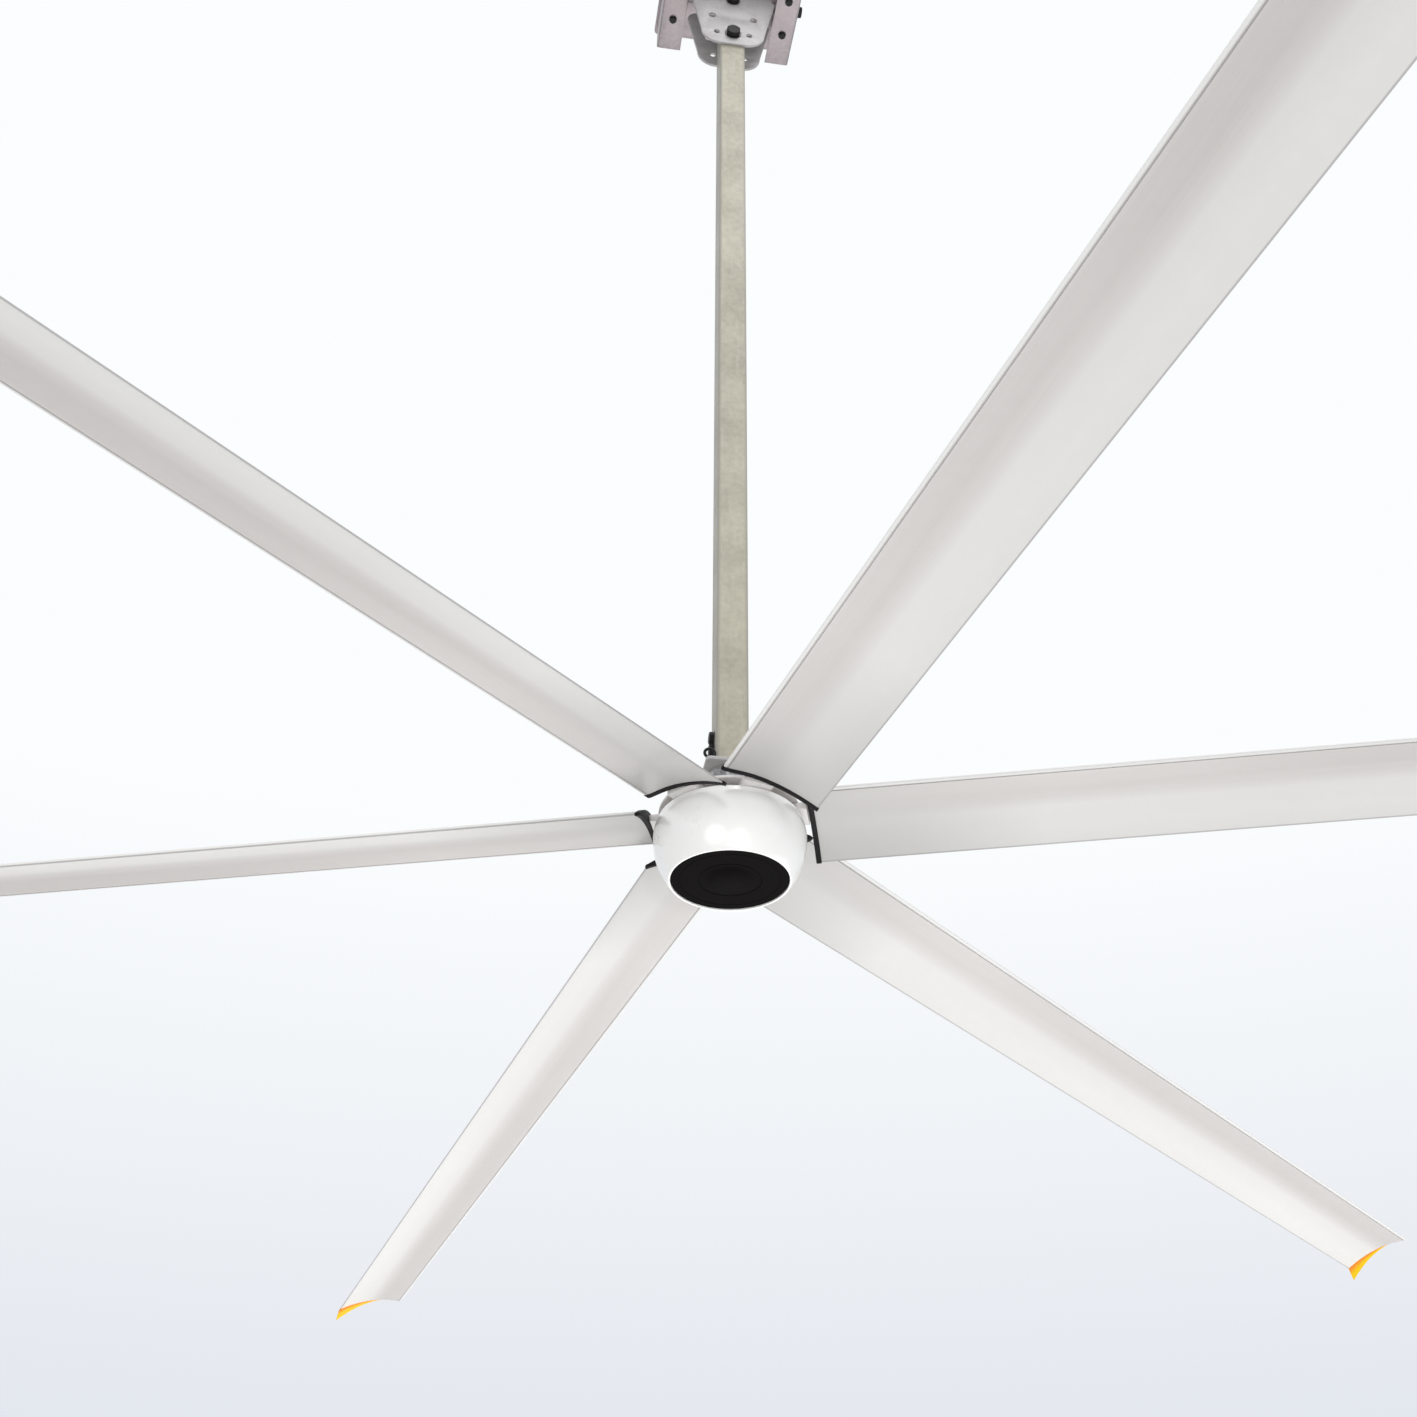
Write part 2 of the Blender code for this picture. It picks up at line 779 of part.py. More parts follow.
def make_rotor_housing():
    top = flange_top()
    rim = min(flange_radius(), bowl_rim_radius - bowl_wall - 2 * touch_gap)
    profile = [
        (rim, top),
        (rim, top - flange_thickness),
        (housing_outer(), top - flange_thickness),
        (housing_outer(), housing_bottom),
        (housing_inner(), housing_bottom),
        (housing_inner(), top),
    ]
    add_turned("rotor_housing", profile, "cast_aluminium", rotor_frame)


def make_bearing(name, outer, inner, bottom, height):
    top = bottom + height
    bore = inner + running_gap
    profile = [(outer, top), (outer, bottom), (bore, bottom), (bore, top)]
    add_turned(name, profile, "bearing_steel", rotor_frame)


def make_end_plate():
    """The disc that closes the housing below and seats the lower bearing in its boss."""
    top = housing_bottom - touch_gap
    seat = bearing_lower_radius + touch_gap
    boss = seat + end_plate_boss_wall
    lip = bearing_lower_bottom + bearing_lower_height + touch_gap
    profile = [
        (housing_outer(), top),
        (housing_outer(), top - end_plate_thickness),
        (boss, top - end_plate_thickness),
        (boss, bearing_lower_bottom),
        (seat, bearing_lower_bottom),
        (seat, lip),
        (shaft_radius + end_plate_boss_wall / 2, lip),
        (shaft_radius + end_plate_boss_wall / 2, top),
    ]
    add_turned("lower_end_plate", profile, "cast_aluminium", rotor_frame)


def make_retaining_nut():
    """The nut on the shaft's tail that holds the lower bearing up."""
    top = shaft_thread_height - touch_gap
    block = prism_mesh("retaining_nut", nut_flat / 2 / cos(pi / hexagon_sides), nut_height, hexagon_sides)
    template = new_object("retaining_nut", block, fan_collection, hub_at(top - nut_height))
    hole_radius = shaft_thread_radius + touch_gap
    hole = hole_along_z("nut_hole", hole_radius, nut_height, hub_at(top - nut_height / 2), big_facets)
    boolean(template, hole, "DIFFERENCE")
    mesh = baked_mesh(template, [hole])
    add_piece("retaining_nut", mesh, "bearing_steel", hub_at(top - nut_height), downrod_frame)


def foot_top():
    return bowl_rim_height + arm_foot_lift + arm_foot_thickness


def make_top_cover():
    """The domed cover over the arm feet, which seats the upper bearing."""
    bottom = foot_top() + touch_gap
    edge = bottom + cover_edge_height
    rim = bowl_rim_radius - cover_edge_inset
    shoulder = bottom + cover_shoulder_rise
    seat = bearing_upper_radius + touch_gap
    seat_top = bearing_upper_bottom + bearing_upper_height + touch_gap
    profile = [
        (cover_bore_radius, cover_crown_height),
        (cover_crown_radius, cover_crown_height),
        (cover_shoulder_radius, shoulder),
        ((rim + cover_shoulder_radius) / 2, (edge + shoulder) / 2 - cover_wall / 2),
        (rim, edge),
        (rim, bottom),
        (cover_shoulder_radius, bottom),
        (cover_crown_radius - cover_wall, bearing_upper_bottom + cover_wall),
        (seat + cover_wall, bearing_upper_bottom),
        (seat, bearing_upper_bottom),
        (seat, seat_top),
        (cover_bore_radius, seat_top),
    ]
    add_turned("top_cover", profile, "cast_aluminium", rotor_frame)


def make_bowl_cover():
    """The white shell round the motor, open at the rim, with a rebate at the lip for the disc."""
    heights = [
        bowl_rim_height + (bowl_lip_height - bowl_rim_height) * k / bowl_side_steps
        for k in range(bowl_side_steps + 1)
    ]
    outer = [(bowl_outer(height), height) for height in heights]
    inner = [(radius - bowl_wall, height) for radius, height in outer[:-1]]
    seat = bowl_lip_height + disc_recess + disc_thickness + touch_gap
    hole = disc_radius + touch_gap
    ledge = disc_radius - 2 * bowl_wall
    lip = [(hole, bowl_lip_height), (hole, seat), (ledge, seat), (ledge, seat + bowl_wall)]
    above_ledge = [(radius, height) for radius, height in inner if height > seat + 2 * bowl_wall]
    profile = outer + lip + list(reversed(above_ledge))
    add_turned("bowl_cover", profile, "white_gloss", rotor_frame, bowl_facets)


def make_hub_disc():
    bottom = bowl_lip_height + disc_recess
    top = bottom + disc_thickness
    groove_inner = disc_groove_radius - disc_groove_width
    profile = [
        (0, top),
        (disc_radius, top),
        (disc_radius, bottom),
        (disc_groove_radius, bottom),
        (disc_groove_radius, bottom + disc_groove_depth),
        (groove_inner, bottom + disc_groove_depth),
        (groove_inner, bottom),
        (0, bottom),
    ]
    add_turned("hub_disc", profile, "black_gloss", rotor_frame, bowl_facets)


# Blades. In a blade's own frame X runs out along it, Y points to its trailing side and Z up.


def blade_turn(number):
    return Matrix.Rotation(2 * pi * number / blade_count, 4, "Z")


def section_turn():
    """Turns a flat section, its x along the chord and its y up from the chord, to stand across the blade."""
    chord = Vector((0, cos(blade_pitch), -sin(blade_pitch)))
    up = Vector((0, sin(blade_pitch), cos(blade_pitch)))
    return Matrix((chord, up, chord.cross(up))).transposed().to_4x4()


def half_thickness(share):
    curve = 0.2969 * sqrt(share) - 0.1260 * share - 0.3516 * share**2 + 0.2843 * share**3 - 0.1015 * share**4
    return 5 * blade_thickness_share * curve * blade_chord + share * blade_edge_thickness / 2


def camber(share):
    """Height of the mean line over the chord, from nose (0) to tail (1)."""
    peak = camber_peak_share
    side = peak if share < peak else 1 - peak
    lift = 2 * peak * share - share**2 + (0 if share < peak else 1 - 2 * peak)
    return blade_camber_share * blade_chord * lift / side**2


def section_outline(grow=0):
    """The blade's outer section, tail to nose above, then nose to tail below."""
    shares = [(1 + cos(pi * k / outline_steps)) / 2 for k in range(outline_steps + 1)]
    nose = -blade_lead
    upper = [(nose + s * blade_chord, camber(s) + half_thickness(s) + grow) for s in shares]
    lower = [(nose + s * blade_chord, camber(s) - half_thickness(s) - grow) for s in reversed(shares)]
    if grow:
        upper[0] = (upper[0][0] + grow, upper[0][1])
        lower[-1] = (lower[-1][0] + grow, lower[-1][1])
        upper[-1] = (nose - grow, grow)
        lower[0] = (nose - grow, -grow)
        return upper + lower
    return upper + lower[1:]


def cavity(start_x, end_x, steps):
    """A hollow of the section between two places on the chord, one skin inside the outer surface."""
    xs = [start_x + (end_x - start_x) * k / steps for k in range(steps + 1)]
    shares = [(x + blade_lead) / blade_chord for x in xs]
    upper = [(x, camber(s) + half_thickness(s) - blade_skin) for x, s in zip(xs, shares)]
    lower = [(x, camber(s) - half_thickness(s) + blade_skin) for x, s in zip(xs, shares)]
    return upper + list(reversed(lower))


def arm_height():
    """The arm's middle above the chord, a little under the section's mean line."""
    return camber(blade_lead / blade_chord) - arm_sink


def arm_slot(gap):
    half_x = arm_bar_width / 2 + gap
    half_y = arm_bar_thickness / 2 + gap
    low = arm_height() - half_y
    high = arm_height() + half_y
    return [(-half_x, low), (half_x, low), (half_x, high), (-half_x, high)]


def blade_bolt_place(height):
    """On the blade's normal through the arm's middle, at a height above the chord."""
    station = at(arm_bar_outer_radius - blade_bolt_inset, 0, 0)
    return station @ section_turn() @ at(0, height, 0) @ Matrix.Rotation(-pi / 2, 4, "X")


def blade_top():
    return camber(blade_lead / blade_chord) + half_thickness(blade_lead / blade_chord)


def make_blade_meshes():
    length = blade_end_radius - blade_root_radius
    slot_edge = arm_bar_width / 2 + touch_gap + blade_web
    nose_start = -blade_lead + nose_web_margin
    tail_end = blade_chord - blade_lead - tail_cavity_margin
    nose_cavity = cavity(nose_start, -slot_edge, nose_cavity_steps)
    tail_cavity = cavity(slot_edge, tail_end, tail_cavity_steps)
    loops = [section_outline(), arm_slot(touch_gap), nose_cavity, tail_cavity]
    mesh = baked_mesh(flat_template("blade", loops, length))
    mesh.transform(at((blade_end_radius + blade_root_radius) / 2, 0, 0) @ section_turn())
    template = new_object("blade", mesh, fan_collection, Matrix.Identity(4))
    hole_length = arm_bar_thickness + cut_overrun
    hole_mesh = prism_mesh("blade_bolt_hole", blade_bolt_radius + touch_gap, hole_length, small_facets)
    hole = make_cutter("blade_bolt_hole", hole_mesh, blade_bolt_place(arm_height()))
    boolean(template, hole, "DIFFERENCE")
    return baked_mesh(template, [hole])


def make_arm_mesh():
    foot_length = arm_foot_outer_radius - arm_foot_inner_radius
    foot_middle = (arm_foot_outer_radius + arm_foot_inner_radius) / 2
    foot_place = at(foot_middle, 0, foot_top() - arm_foot_thickness / 2)
    foot_mesh = box_mesh("arm", foot_length, arm_foot_width, arm_foot_thickness)
    foot = new_object("arm", foot_mesh, fan_collection, foot_place)
    bar_length = arm_bar_outer_radius - arm_bar_inner_radius
    bar_middle = (arm_bar_outer_radius + arm_bar_inner_radius) / 2
    bar = make_cutter(
        "arm_bar", box_mesh("arm_bar", arm_bar_width, arm_bar_thickness, bar_length),
        at(bar_middle, 0, 0) @ section_turn() @ at(0, arm_height(), 0),
    )
    boolean(foot, bar, "UNION")
    hole_radius = blade_bolt_radius + touch_gap
    hole = hole_along_z("arm_bolt_hole", hole_radius, arm_bar_thickness, blade_bolt_place(arm_height()))
    boolean(foot, hole, "DIFFERENCE")
    mesh = baked_mesh(foot, [bar, hole])
    mesh.transform(foot_place)
    return mesh


def make_root_cap_mesh():
    middle = at(blade_root_radius - touch_gap - root_cap_thickness / 2, 0, 0) @ section_turn()
    loops = [section_outline(root_cap_grow), arm_slot(touch_gap)]
    mesh = baked_mesh(flat_template("root_cap", loops, root_cap_thickness))
    mesh.transform(middle)
    return mesh


def winglet_section(step):
    """One ring of the winglet: the blade's section swept out, down and back, most at the tail."""
    grow = step / winglet_sections
    ring = []
    for x, y in section_outline():
        share = min(1, max(0, (x + blade_lead) / blade_chord))
        lean = share**winglet_growth_power
        mean = camber(share)
        thin = 1 - (1 - winglet_edge_share) * grow
        reach = grow * (winglet_nose_reach + (winglet_tail_reach - winglet_nose_reach) * lean)
        down = winglet_drop * lean * grow**winglet_drop_power
        back = winglet_sweep * lean * grow
        ring.append(Vector((x + back, mean + (y - mean) * thin - down, reach)))
    return ring


def make_winglet_mesh():
    """A loft from the blade's end section to the thin drooping edge."""
    mesh = bpy.data.meshes.new("winglet")
    bm = bmesh.new()
    rings = [[bm.verts.new(point) for point in winglet_section(step)] for step in range(winglet_sections + 1)]
    for inner, outer in zip(rings, rings[1:]):
        for k in range(len(inner)):
            after = (k + 1) % len(inner)
            bm.faces.new((inner[k], inner[after], outer[after], outer[k]))
    for ring in (rings[0], rings[-1]):
        count = len(ring)
        for k in range(count // 2 - 1):
            bm.faces.new((ring[k], ring[k + 1], ring[count - 2 - k], ring[count - 1 - k]))
        bm.faces.new(ring[count // 2 - 1:count // 2 + 2])
    bmesh.ops.triangulate(bm, faces=bm.faces)
    bmesh.ops.recalc_face_normals(bm, faces=bm.faces)
    bm.to_mesh(mesh)
    bm.free()
    mesh.transform(at(blade_end_radius + touch_gap, 0, 0) @ section_turn())
    return mesh


def make_blade_bolt_mesh():
    reach = blade_top() - arm_height() + arm_bar_thickness / 2
    mesh = bolt_mesh("blade_bolt", blade_bolt_radius, reach)
    mesh.transform(blade_bolt_place(blade_top() + touch_gap))
    return mesh


def make_blades():
    pieces = (
        ("arm", make_arm_mesh(), "cast_aluminium"),
        ("blade", make_blade_meshes(), "blade_satin"),
        ("root_cap", make_root_cap_mesh(), "black_rubber"),
        ("winglet", make_winglet_mesh(), "tip_yellow"),
        ("blade_bolt", make_blade_bolt_mesh(), "black_steel"),
    )
    for number in range(blade_count):
        place = rotor_frame.matrix_world @ blade_turn(number)
        for name, mesh, finish in pieces:
            add_piece(f"{name}_{number + 1}", mesh.copy(), finish, place, rotor_frame)


# Assembly


def make_frame(name, matrix, parent=None):
    frame = new_object(name, None, fan_collection, matrix)
    if parent:
        frame.parent = parent
        frame.matrix_parent_inverse = parent.matrix_world.inverted()
        frame.matrix_world = matrix
    bpy.context.view_layer.update()
    return frame


downrod_frame = make_frame("downrod_frame", at(0, 0, -lower_pivot_drop))
rotor_frame = make_frame("rotor_frame", hub_at() @ Matrix.Rotation(rotor_rest_turn, 4, "Z"), downrod_frame)

make_mounting_plate()
make_hanger_angle("hanger_angle_left", -1)
make_hanger_angle("hanger_angle_right", 1)
make_angle_bolts()
make_upper_pivot_bolt()
make_cross_block()
make_swivel_plate("swivel_plate_front", -1)
make_swivel_plate("swivel_plate_rear", 1)
make_swivel_bolt("swivel_pivot_bolt", pivot_radius, -lower_pivot_drop)
make_swivel_bolt("tube_bolt", tube_bolt_radius, tube_bolt_z())
make_downrod_tube()
make_motor_socket()
make_socket_bolts()
make_eye_bolt()
make_motor_shaft()
make_stator_core()
make_stator_winding()
make_retaining_nut()
make_magnet_ring()
make_rotor_housing()
make_bearing(
    "upper_bearing", bearing_upper_radius, shaft_radius, bearing_upper_bottom, bearing_upper_height
)
make_bearing(
    "lower_bearing", bearing_lower_radius, shaft_tail_radius, bearing_lower_bottom, bearing_lower_height
)
make_end_plate()
make_top_cover()
make_bowl_cover()
make_hub_disc()
make_blades()
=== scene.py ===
"""The looks of a six blade high volume low speed ceiling fan, seen from below and in front."""

import json
from math import atan2, copysign, cos, pi, radians, sin, sqrt, tan

import bpy
from bpy.props import FloatProperty, FloatVectorProperty, IntProperty, PointerProperty
from mathutils import Matrix, Vector


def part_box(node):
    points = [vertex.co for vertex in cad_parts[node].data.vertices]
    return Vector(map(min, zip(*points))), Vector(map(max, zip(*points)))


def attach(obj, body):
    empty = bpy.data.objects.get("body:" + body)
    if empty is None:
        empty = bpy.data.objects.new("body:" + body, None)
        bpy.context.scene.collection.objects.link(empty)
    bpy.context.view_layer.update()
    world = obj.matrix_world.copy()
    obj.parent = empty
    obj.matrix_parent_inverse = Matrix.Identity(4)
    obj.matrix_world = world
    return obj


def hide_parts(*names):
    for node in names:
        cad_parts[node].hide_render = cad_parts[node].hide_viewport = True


bl_info = {
    "name": "Large Ceiling Fan",
    "version": (1, 0, 0),
    "blender": (4, 5, 0),
    "location": "3D View > Sidebar > Fan",
    "description": "Models the hanger, downrod, motor hub and blades of a large slow ceiling fan",
    "category": "Add Mesh",
}

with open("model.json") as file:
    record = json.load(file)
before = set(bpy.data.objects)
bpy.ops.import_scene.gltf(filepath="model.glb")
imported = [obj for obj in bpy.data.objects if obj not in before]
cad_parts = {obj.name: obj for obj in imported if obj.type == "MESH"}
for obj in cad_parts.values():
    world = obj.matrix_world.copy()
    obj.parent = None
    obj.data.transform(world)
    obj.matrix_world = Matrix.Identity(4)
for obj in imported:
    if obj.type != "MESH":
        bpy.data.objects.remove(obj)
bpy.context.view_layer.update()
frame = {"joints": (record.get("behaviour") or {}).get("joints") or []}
joint_places = {joint["name"]: Vector(joint["pos_m"]) for joint in frame["joints"]}

# Places read from the frame
hub_z = joint_places["rotor_spin"].z
upper_pivot_z = joint_places["cross_tilt"].z
lower_pivot_z = joint_places["downrod_tilt"].z
plate_low, plate_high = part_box("mounting_plate")
front_low, front_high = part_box("swivel_plate_front")
rear_low, rear_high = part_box("swivel_plate_rear")
flange_low, flange_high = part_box("motor_socket")
cover_low, cover_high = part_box("top_cover")

# Blade sizes, in a blade's own frame: X out along the blade, Y to its tail, Z up
blade_count = 6
rotor_turn = radians(-18)
blade_pitch = radians(14.5)
blade_root = 0.190
blade_end = 3.600
blade_chord = 0.227
blade_lead = 0.091
thickness_share = 0.110
camber_share = 0.115
peak_share = 0.42
tail_thickness = 0.003
skin = 0.002
arm_start = 0.165
arm_end = 0.900
arm_sink = 0.002
slot_width = 0.0506
slot_height = 0.0146
slot_corner = 0.001
blade_bolt_radius = 0.006
cap_thickness = 0.012
cap_grow = 0.002
outline_steps = 26
groove_shares = (0.040, 0.043, 0.049, 0.052)
groove_depth = 0.0012
bolt_distances = (0.735, 0.765, 0.850)
cavity_margin = 0.016
web_wall = 0.003
cap_edge = 0.0010
seat_gap = 0.0003

# Winglet sizes
nose_reach = 0.004
tip_sweep = 0.012
tip_edge_share = 0.30
tip_sections = 14
growth_power = 1.3
drop_power = 1.6
tip_edge_start = 0.88
tip_edge_least = 0.04

# Hanger, swivel and downrod sizes
anchor_inset = 0.035
anchor_radius = 0.0065
anchor_plate_corner = 0.012
anchor_plate_edge = 0.0012
cross_width = 0.070
sleeve_radius = 0.019
sleeve_facets = 64
cross_edge = 0.004
plate_top_half = 0.130
plate_low_half = 0.098
plate_top_corner = 0.034
plate_low_corner = 0.060
plate_edge = 0.0011
angle_height = 0.096
angle_foot = 0.075
angle_wall = 0.007
angle_outer = 0.212
angle_length = 0.340
angle_edge = 0.0009
angle_corners = (0.006, 0.001, 0.003, 0.007, 0.004, 0.001)
angle_bolt_span = 0.120
angle_bolt_radius = 0.006
slot_reach_share = 0.4
pivot_radius = 0.010
tube_bolt_radius = 0.012
tube_bolt_drop = 0.165
side_hole_x = 0.064
side_hole_rise = 0.080
side_hole_radius = 0.011
low_hole_x = 0.050
low_hole_radius = 0.009
tube_side = 0.076
tube_wall = 0.005
tube_corner = 0.006
socket_bolt_heights = (0.198, 0.230)
socket_bolt_radius = 0.008
wire_bore = 0.014
spigot_height = 0.125
flange_thickness = 0.009
flange_corner = 0.010
flange_edge = 0.0012
spigot_edge = 0.0008
eye_collar_shares = (2.1, 2.3, 1.6)
eye_chamfer_share = 0.3
eye_core = 0.001

# Hub sizes, heights above the blade plane. A rounding is (radius, height) from the edge that it rounds.
rim_height = 0.005
rim_radius = 0.161
belly_radius = 0.171
belly_height = -0.038
lip_height = -0.143
lip_radius = 0.136
side_power = 2.3
bowl_steps = 44
band_drop = 0.010
band_half = 0.0018
band_depth = 0.0008
bead_height = 0.004
ledge_rise = 0.006
shell_wall = 0.003
rim_rounding = ((-0.0015, 0.0), (-0.0004, -0.0008))
lip_rounding = ((0.0006, 0.0016), (-0.0008, 0.0))
mouth_rounding = ((0.0012, 0.0), (0.0004, 0.0010))
disc_radius = 0.131
disc_recess = 0.003
disc_thickness = 0.004
disc_gap = 0.0004
disc_rounding = ((-0.0004, 0.0008), (-0.0012, 0.0))
disc_rings = (
    (0.1120, 0.0), (0.1112, 0.0006), (0.1096, 0.0006), (0.1088, 0.0), (0.0710, 0.0), (0.0702, 0.0009),
    (0.0678, 0.0009), (0.0670, 0.0), (0.0460, 0.0), (0.0448, -0.0008), (0.0020, -0.0010),
)
arm_foot_inner = 0.116
arm_foot_outer = 0.1755
arm_foot_width = 0.070
arm_foot_thickness = 0.018
arm_foot_top = 0.024
casting_edge = 0.0015
arm_edge = 0.0012
cover_edge_height = 0.007
cover_shoulder = 0.106
cover_shoulder_rise = 0.025
cover_crown = 0.094
cover_bore = 0.041
cover_wall = 0.005
cover_step = 0.002
cover_screw_radius = 0.004
cover_screw_circle = 0.074
cover_screw_reach_share = 1.5
bearing_seat = 0.0503
bearing_bottom = 0.032
bearing_top = 0.0503

# Fasteners, as shares of a bolt's or a rod's radius, and the thickness of the washers
flat_share = 1.62
head_share = 1.25
nut_share = 1.45
washer_share = 2.15
washer_thickness = 0.0016
washer_hole_share = 1.05
shank_share = 0.96
core_share = 0.2
shank_end_share = 0.8
thread_root_share = 0.9
thread_tip_share = 0.75
thread_pitch_share = 0.17
thread_crest = 0.3
thread_root = 0.8
past_nut_share = 0.45
hex_turning = ((0.20, 0.0), (0.97, 0.0), (1.16, 0.14), (1.16, 0.84), (0.95, 1.0), (0.20, 1.0))

# Holes, as shares of the bolt that passes through
hole_share = 1.06
plate_hole_share = 1.04
angle_hole_share = 1.05
loose_hole_share = 1.10

# Meshes: facets round a piece, the distance of doubles and the angle from which a bevel takes an edge
merge_distance = 0.000005
bevel_angle = radians(40)
fine_facets = 48
rod_facets = 32
thread_facets = 24

# Camera and stage
photo_side = 1417
focal_pixels = 1888.6
centre_pixel_x = 748.0
centre_pixel_y = 718.2
sensor_width = 36.0
camera_yaw = radians(9.8)
camera_pitch = radians(34.82)
camera_roll = radians(-0.33)
camera_from_hub = Vector((-0.571, -3.549, -2.209))
floor_drop = 11.0
floor_size = 400.0
room_light = 0.755
light_colour = (1.0, 0.985, 0.955, 1)
high_sky = (0.965, 0.985, 0.995, 1)
low_sky = (0.76, 0.79, 0.85, 1)
sky_turn = (0.22, 0.52)
lamp_table = (
    ("key_lamp", (-3.5, -5.5, -5.6), 3.0, 60.0, (1.0, 0.99, 0.97)),
    ("far_lamp", (0.8, 3.6, -6.8), 5.0, 104.0, (1.0, 0.985, 0.95)),
    ("fill_lamp", (4.8, 1.2, -6.2), 4.0, 50.0, (0.97, 0.98, 1.0)),
    ("top_lamp", (1.5, -3.0, 3.5), 4.0, 120.0, (1.0, 1.0, 1.0)),
)
spot_place = (0.3, -3.3, -5.0)
spot_cone = radians(7.5)
spot_power = 185.0
spot_size = 0.20
spot_blend = 0.8
floor_tones = ((0.80, 0.82, 0.85, 1), (0.83, 0.85, 0.87, 1))
view_reach = 500

# Turns that lay an upright piece along X and along -Y, and places that pieces share
turn_x = Matrix.Rotation(pi / 2, 4, "Y")
turn_y = Matrix.Rotation(pi / 2, 4, "X")
tube_bolt_z = lower_pivot_z - tube_bolt_drop
foot_bolt_places = [
    (side * (angle_outer - angle_foot / 2), end * angle_bolt_span / 2) for side in (-1, 1) for end in (-1, 1)
]


def at(x, y, z):
    return Matrix.Translation((x, y, z))


def hub_at(height=0.0):
    return at(0, 0, hub_z + height)


def blade_turn(k):
    return Matrix.Rotation(rotor_turn + 2 * pi * k / blade_count, 4, "Z")


# Properties


def colour_property(name, description, default):
    return FloatVectorProperty(name=name, description=description, subtype="COLOR", default=default, min=0, max=1)


def size_property(name, description, default, most):
    return FloatProperty(name=name, description=description, default=default, min=0, max=most, unit="LENGTH")


class FanSettings(bpy.types.PropertyGroup):
    blade_colour: colour_property("Blade colour", "Satin coat of the blades", (0.86, 0.85, 0.835))
    band_colour: colour_property("Blade band colour", "Darker lengthwise bands on the blades", (0.575, 0.54, 0.532))
    # The winglet's colour is its lit tone, and its root colour a painted shade of the same plastic
    tip_colour: colour_property("Winglet colour", "Lit side of the winglets", (0.97, 0.65, 0.0))
    tip_shade: colour_property("Winglet painted shade colour", "Painted shade, deeper orange near the blade", (0.88, 0.22, 0.0))
    bowl_colour: colour_property("Bowl colour", "Gloss white of the hub bowl", (0.95, 0.95, 0.94))
    tube_colour: colour_property("Downrod colour", "Primer on the downrod", (0.50, 0.475, 0.385))
    tip_reach: size_property("Winglet reach", "How far a winglet's tail stands out past its blade", 0.040, 0.15)
    tip_drop: size_property("Winglet drop", "How far a winglet's tail droops under its blade", 0.030, 0.10)
    facets: IntProperty(name="Round facets", description="Facets round the hub", default=128, min=32, max=256)


def settings():
    return bpy.context.scene.large_fan


# Modelling helpers


def deselect():
    for piece in bpy.context.selected_objects:
        piece.select_set(False)


def activate(piece):
    deselect()
    piece.select_set(True)
    bpy.context.view_layer.objects.active = piece


def edit(piece):
    activate(piece)
    bpy.ops.object.mode_set(mode="EDIT")
    bpy.ops.mesh.select_all(action="SELECT")


def leave_edit():
    bpy.ops.object.mode_set(mode="OBJECT")


def linked(name, data):
    piece = bpy.data.objects.new(name, data)
    bpy.context.collection.objects.link(piece)
    return piece


def removed(piece):
    bpy.data.objects.remove(piece)


def copied(piece):
    """A copy with its own mesh."""
    twin = piece.copy()
    twin.data = piece.data.copy()
    bpy.context.collection.objects.link(twin)
    return twin


def joined(pieces):
    deselect()
    for piece in pieces:
        piece.select_set(True)
    bpy.context.view_layer.objects.active = pieces[0]
    bpy.ops.object.join()
    return pieces[0]


def moved(piece, matrix):
    """Moves the mesh, so that the piece itself stays at the origin."""
    piece.data.transform(matrix)
    return piece


def grounded(piece):
    """Puts the piece's own place into its mesh."""
    moved(piece, piece.matrix_world)
    piece.matrix_world = Matrix.Identity(4)
    return piece


def clean(piece, smooth=35):
    """Merges doubles, points the faces outwards and shades the piece smooth up to an angle."""
    edit(piece)
    bpy.ops.mesh.remove_doubles(threshold=merge_distance)
    bpy.ops.mesh.normals_make_consistent(inside=False)
    leave_edit()
    bpy.ops.object.shade_smooth_by_angle(angle=radians(smooth))
    return piece


def close_ends(piece):
    """Fills every open loop of the piece."""
    edit(piece)
    bpy.ops.mesh.fill_holes(sides=0)
    leave_edit()
    return clean(piece)


def dressed(piece, slot):
    piece.data.materials.clear()
    piece.data.materials.append(finish[slot])
    return piece


def settle(piece, name, matrix, body, slot, replaces):
    """Puts the place in the mesh, then names the piece and lets it ride on its body."""
    grounded(piece)
    moved(piece, matrix)
    piece.name = name
    piece.data.name = name
    if not piece.data.materials:
        dressed(piece, slot)
    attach(piece, body)
    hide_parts(*replaces)


def apply_modifier(piece, kind, **values):
    activate(piece)
    modifier = piece.modifiers.new(kind.lower(), kind)
    for name, value in values.items():
        setattr(modifier, name, value)
    bpy.ops.object.modifier_apply(modifier=modifier.name)


def bevelled(piece, width, segments=2):
    apply_modifier(
        piece, "BEVEL", width=width, segments=segments, limit_method="ANGLE", angle_limit=bevel_angle,
        harden_normals=False,
    )
    return piece


def combined(piece, other, operation):
    """A boolean with another piece, which is used up."""
    apply_modifier(piece, "BOOLEAN", operation=operation, solver="EXACT", object=other)
    removed(other)


def drilled(piece, radius, depth, *places):
    """Bores a round hole upwards from each place."""
    for place in places:
        combined(piece, moved(cylinder(radius, depth), place), "DIFFERENCE")


def box(size_x, size_y, size_z):
    deselect()
    bpy.ops.mesh.primitive_cube_add(size=1)
    piece = bpy.context.object
    piece.scale = (size_x, size_y, size_z)
    bpy.ops.object.transform_apply(scale=True)
    return piece


def cylinder(radius, height, facets=fine_facets):
    """Stands on z = 0."""
    deselect()
    bpy.ops.mesh.primitive_cylinder_add(vertices=facets, radius=radius, depth=height, location=(0, 0, height / 2))
    bpy.ops.object.transform_apply(location=True)
    return bpy.context.object


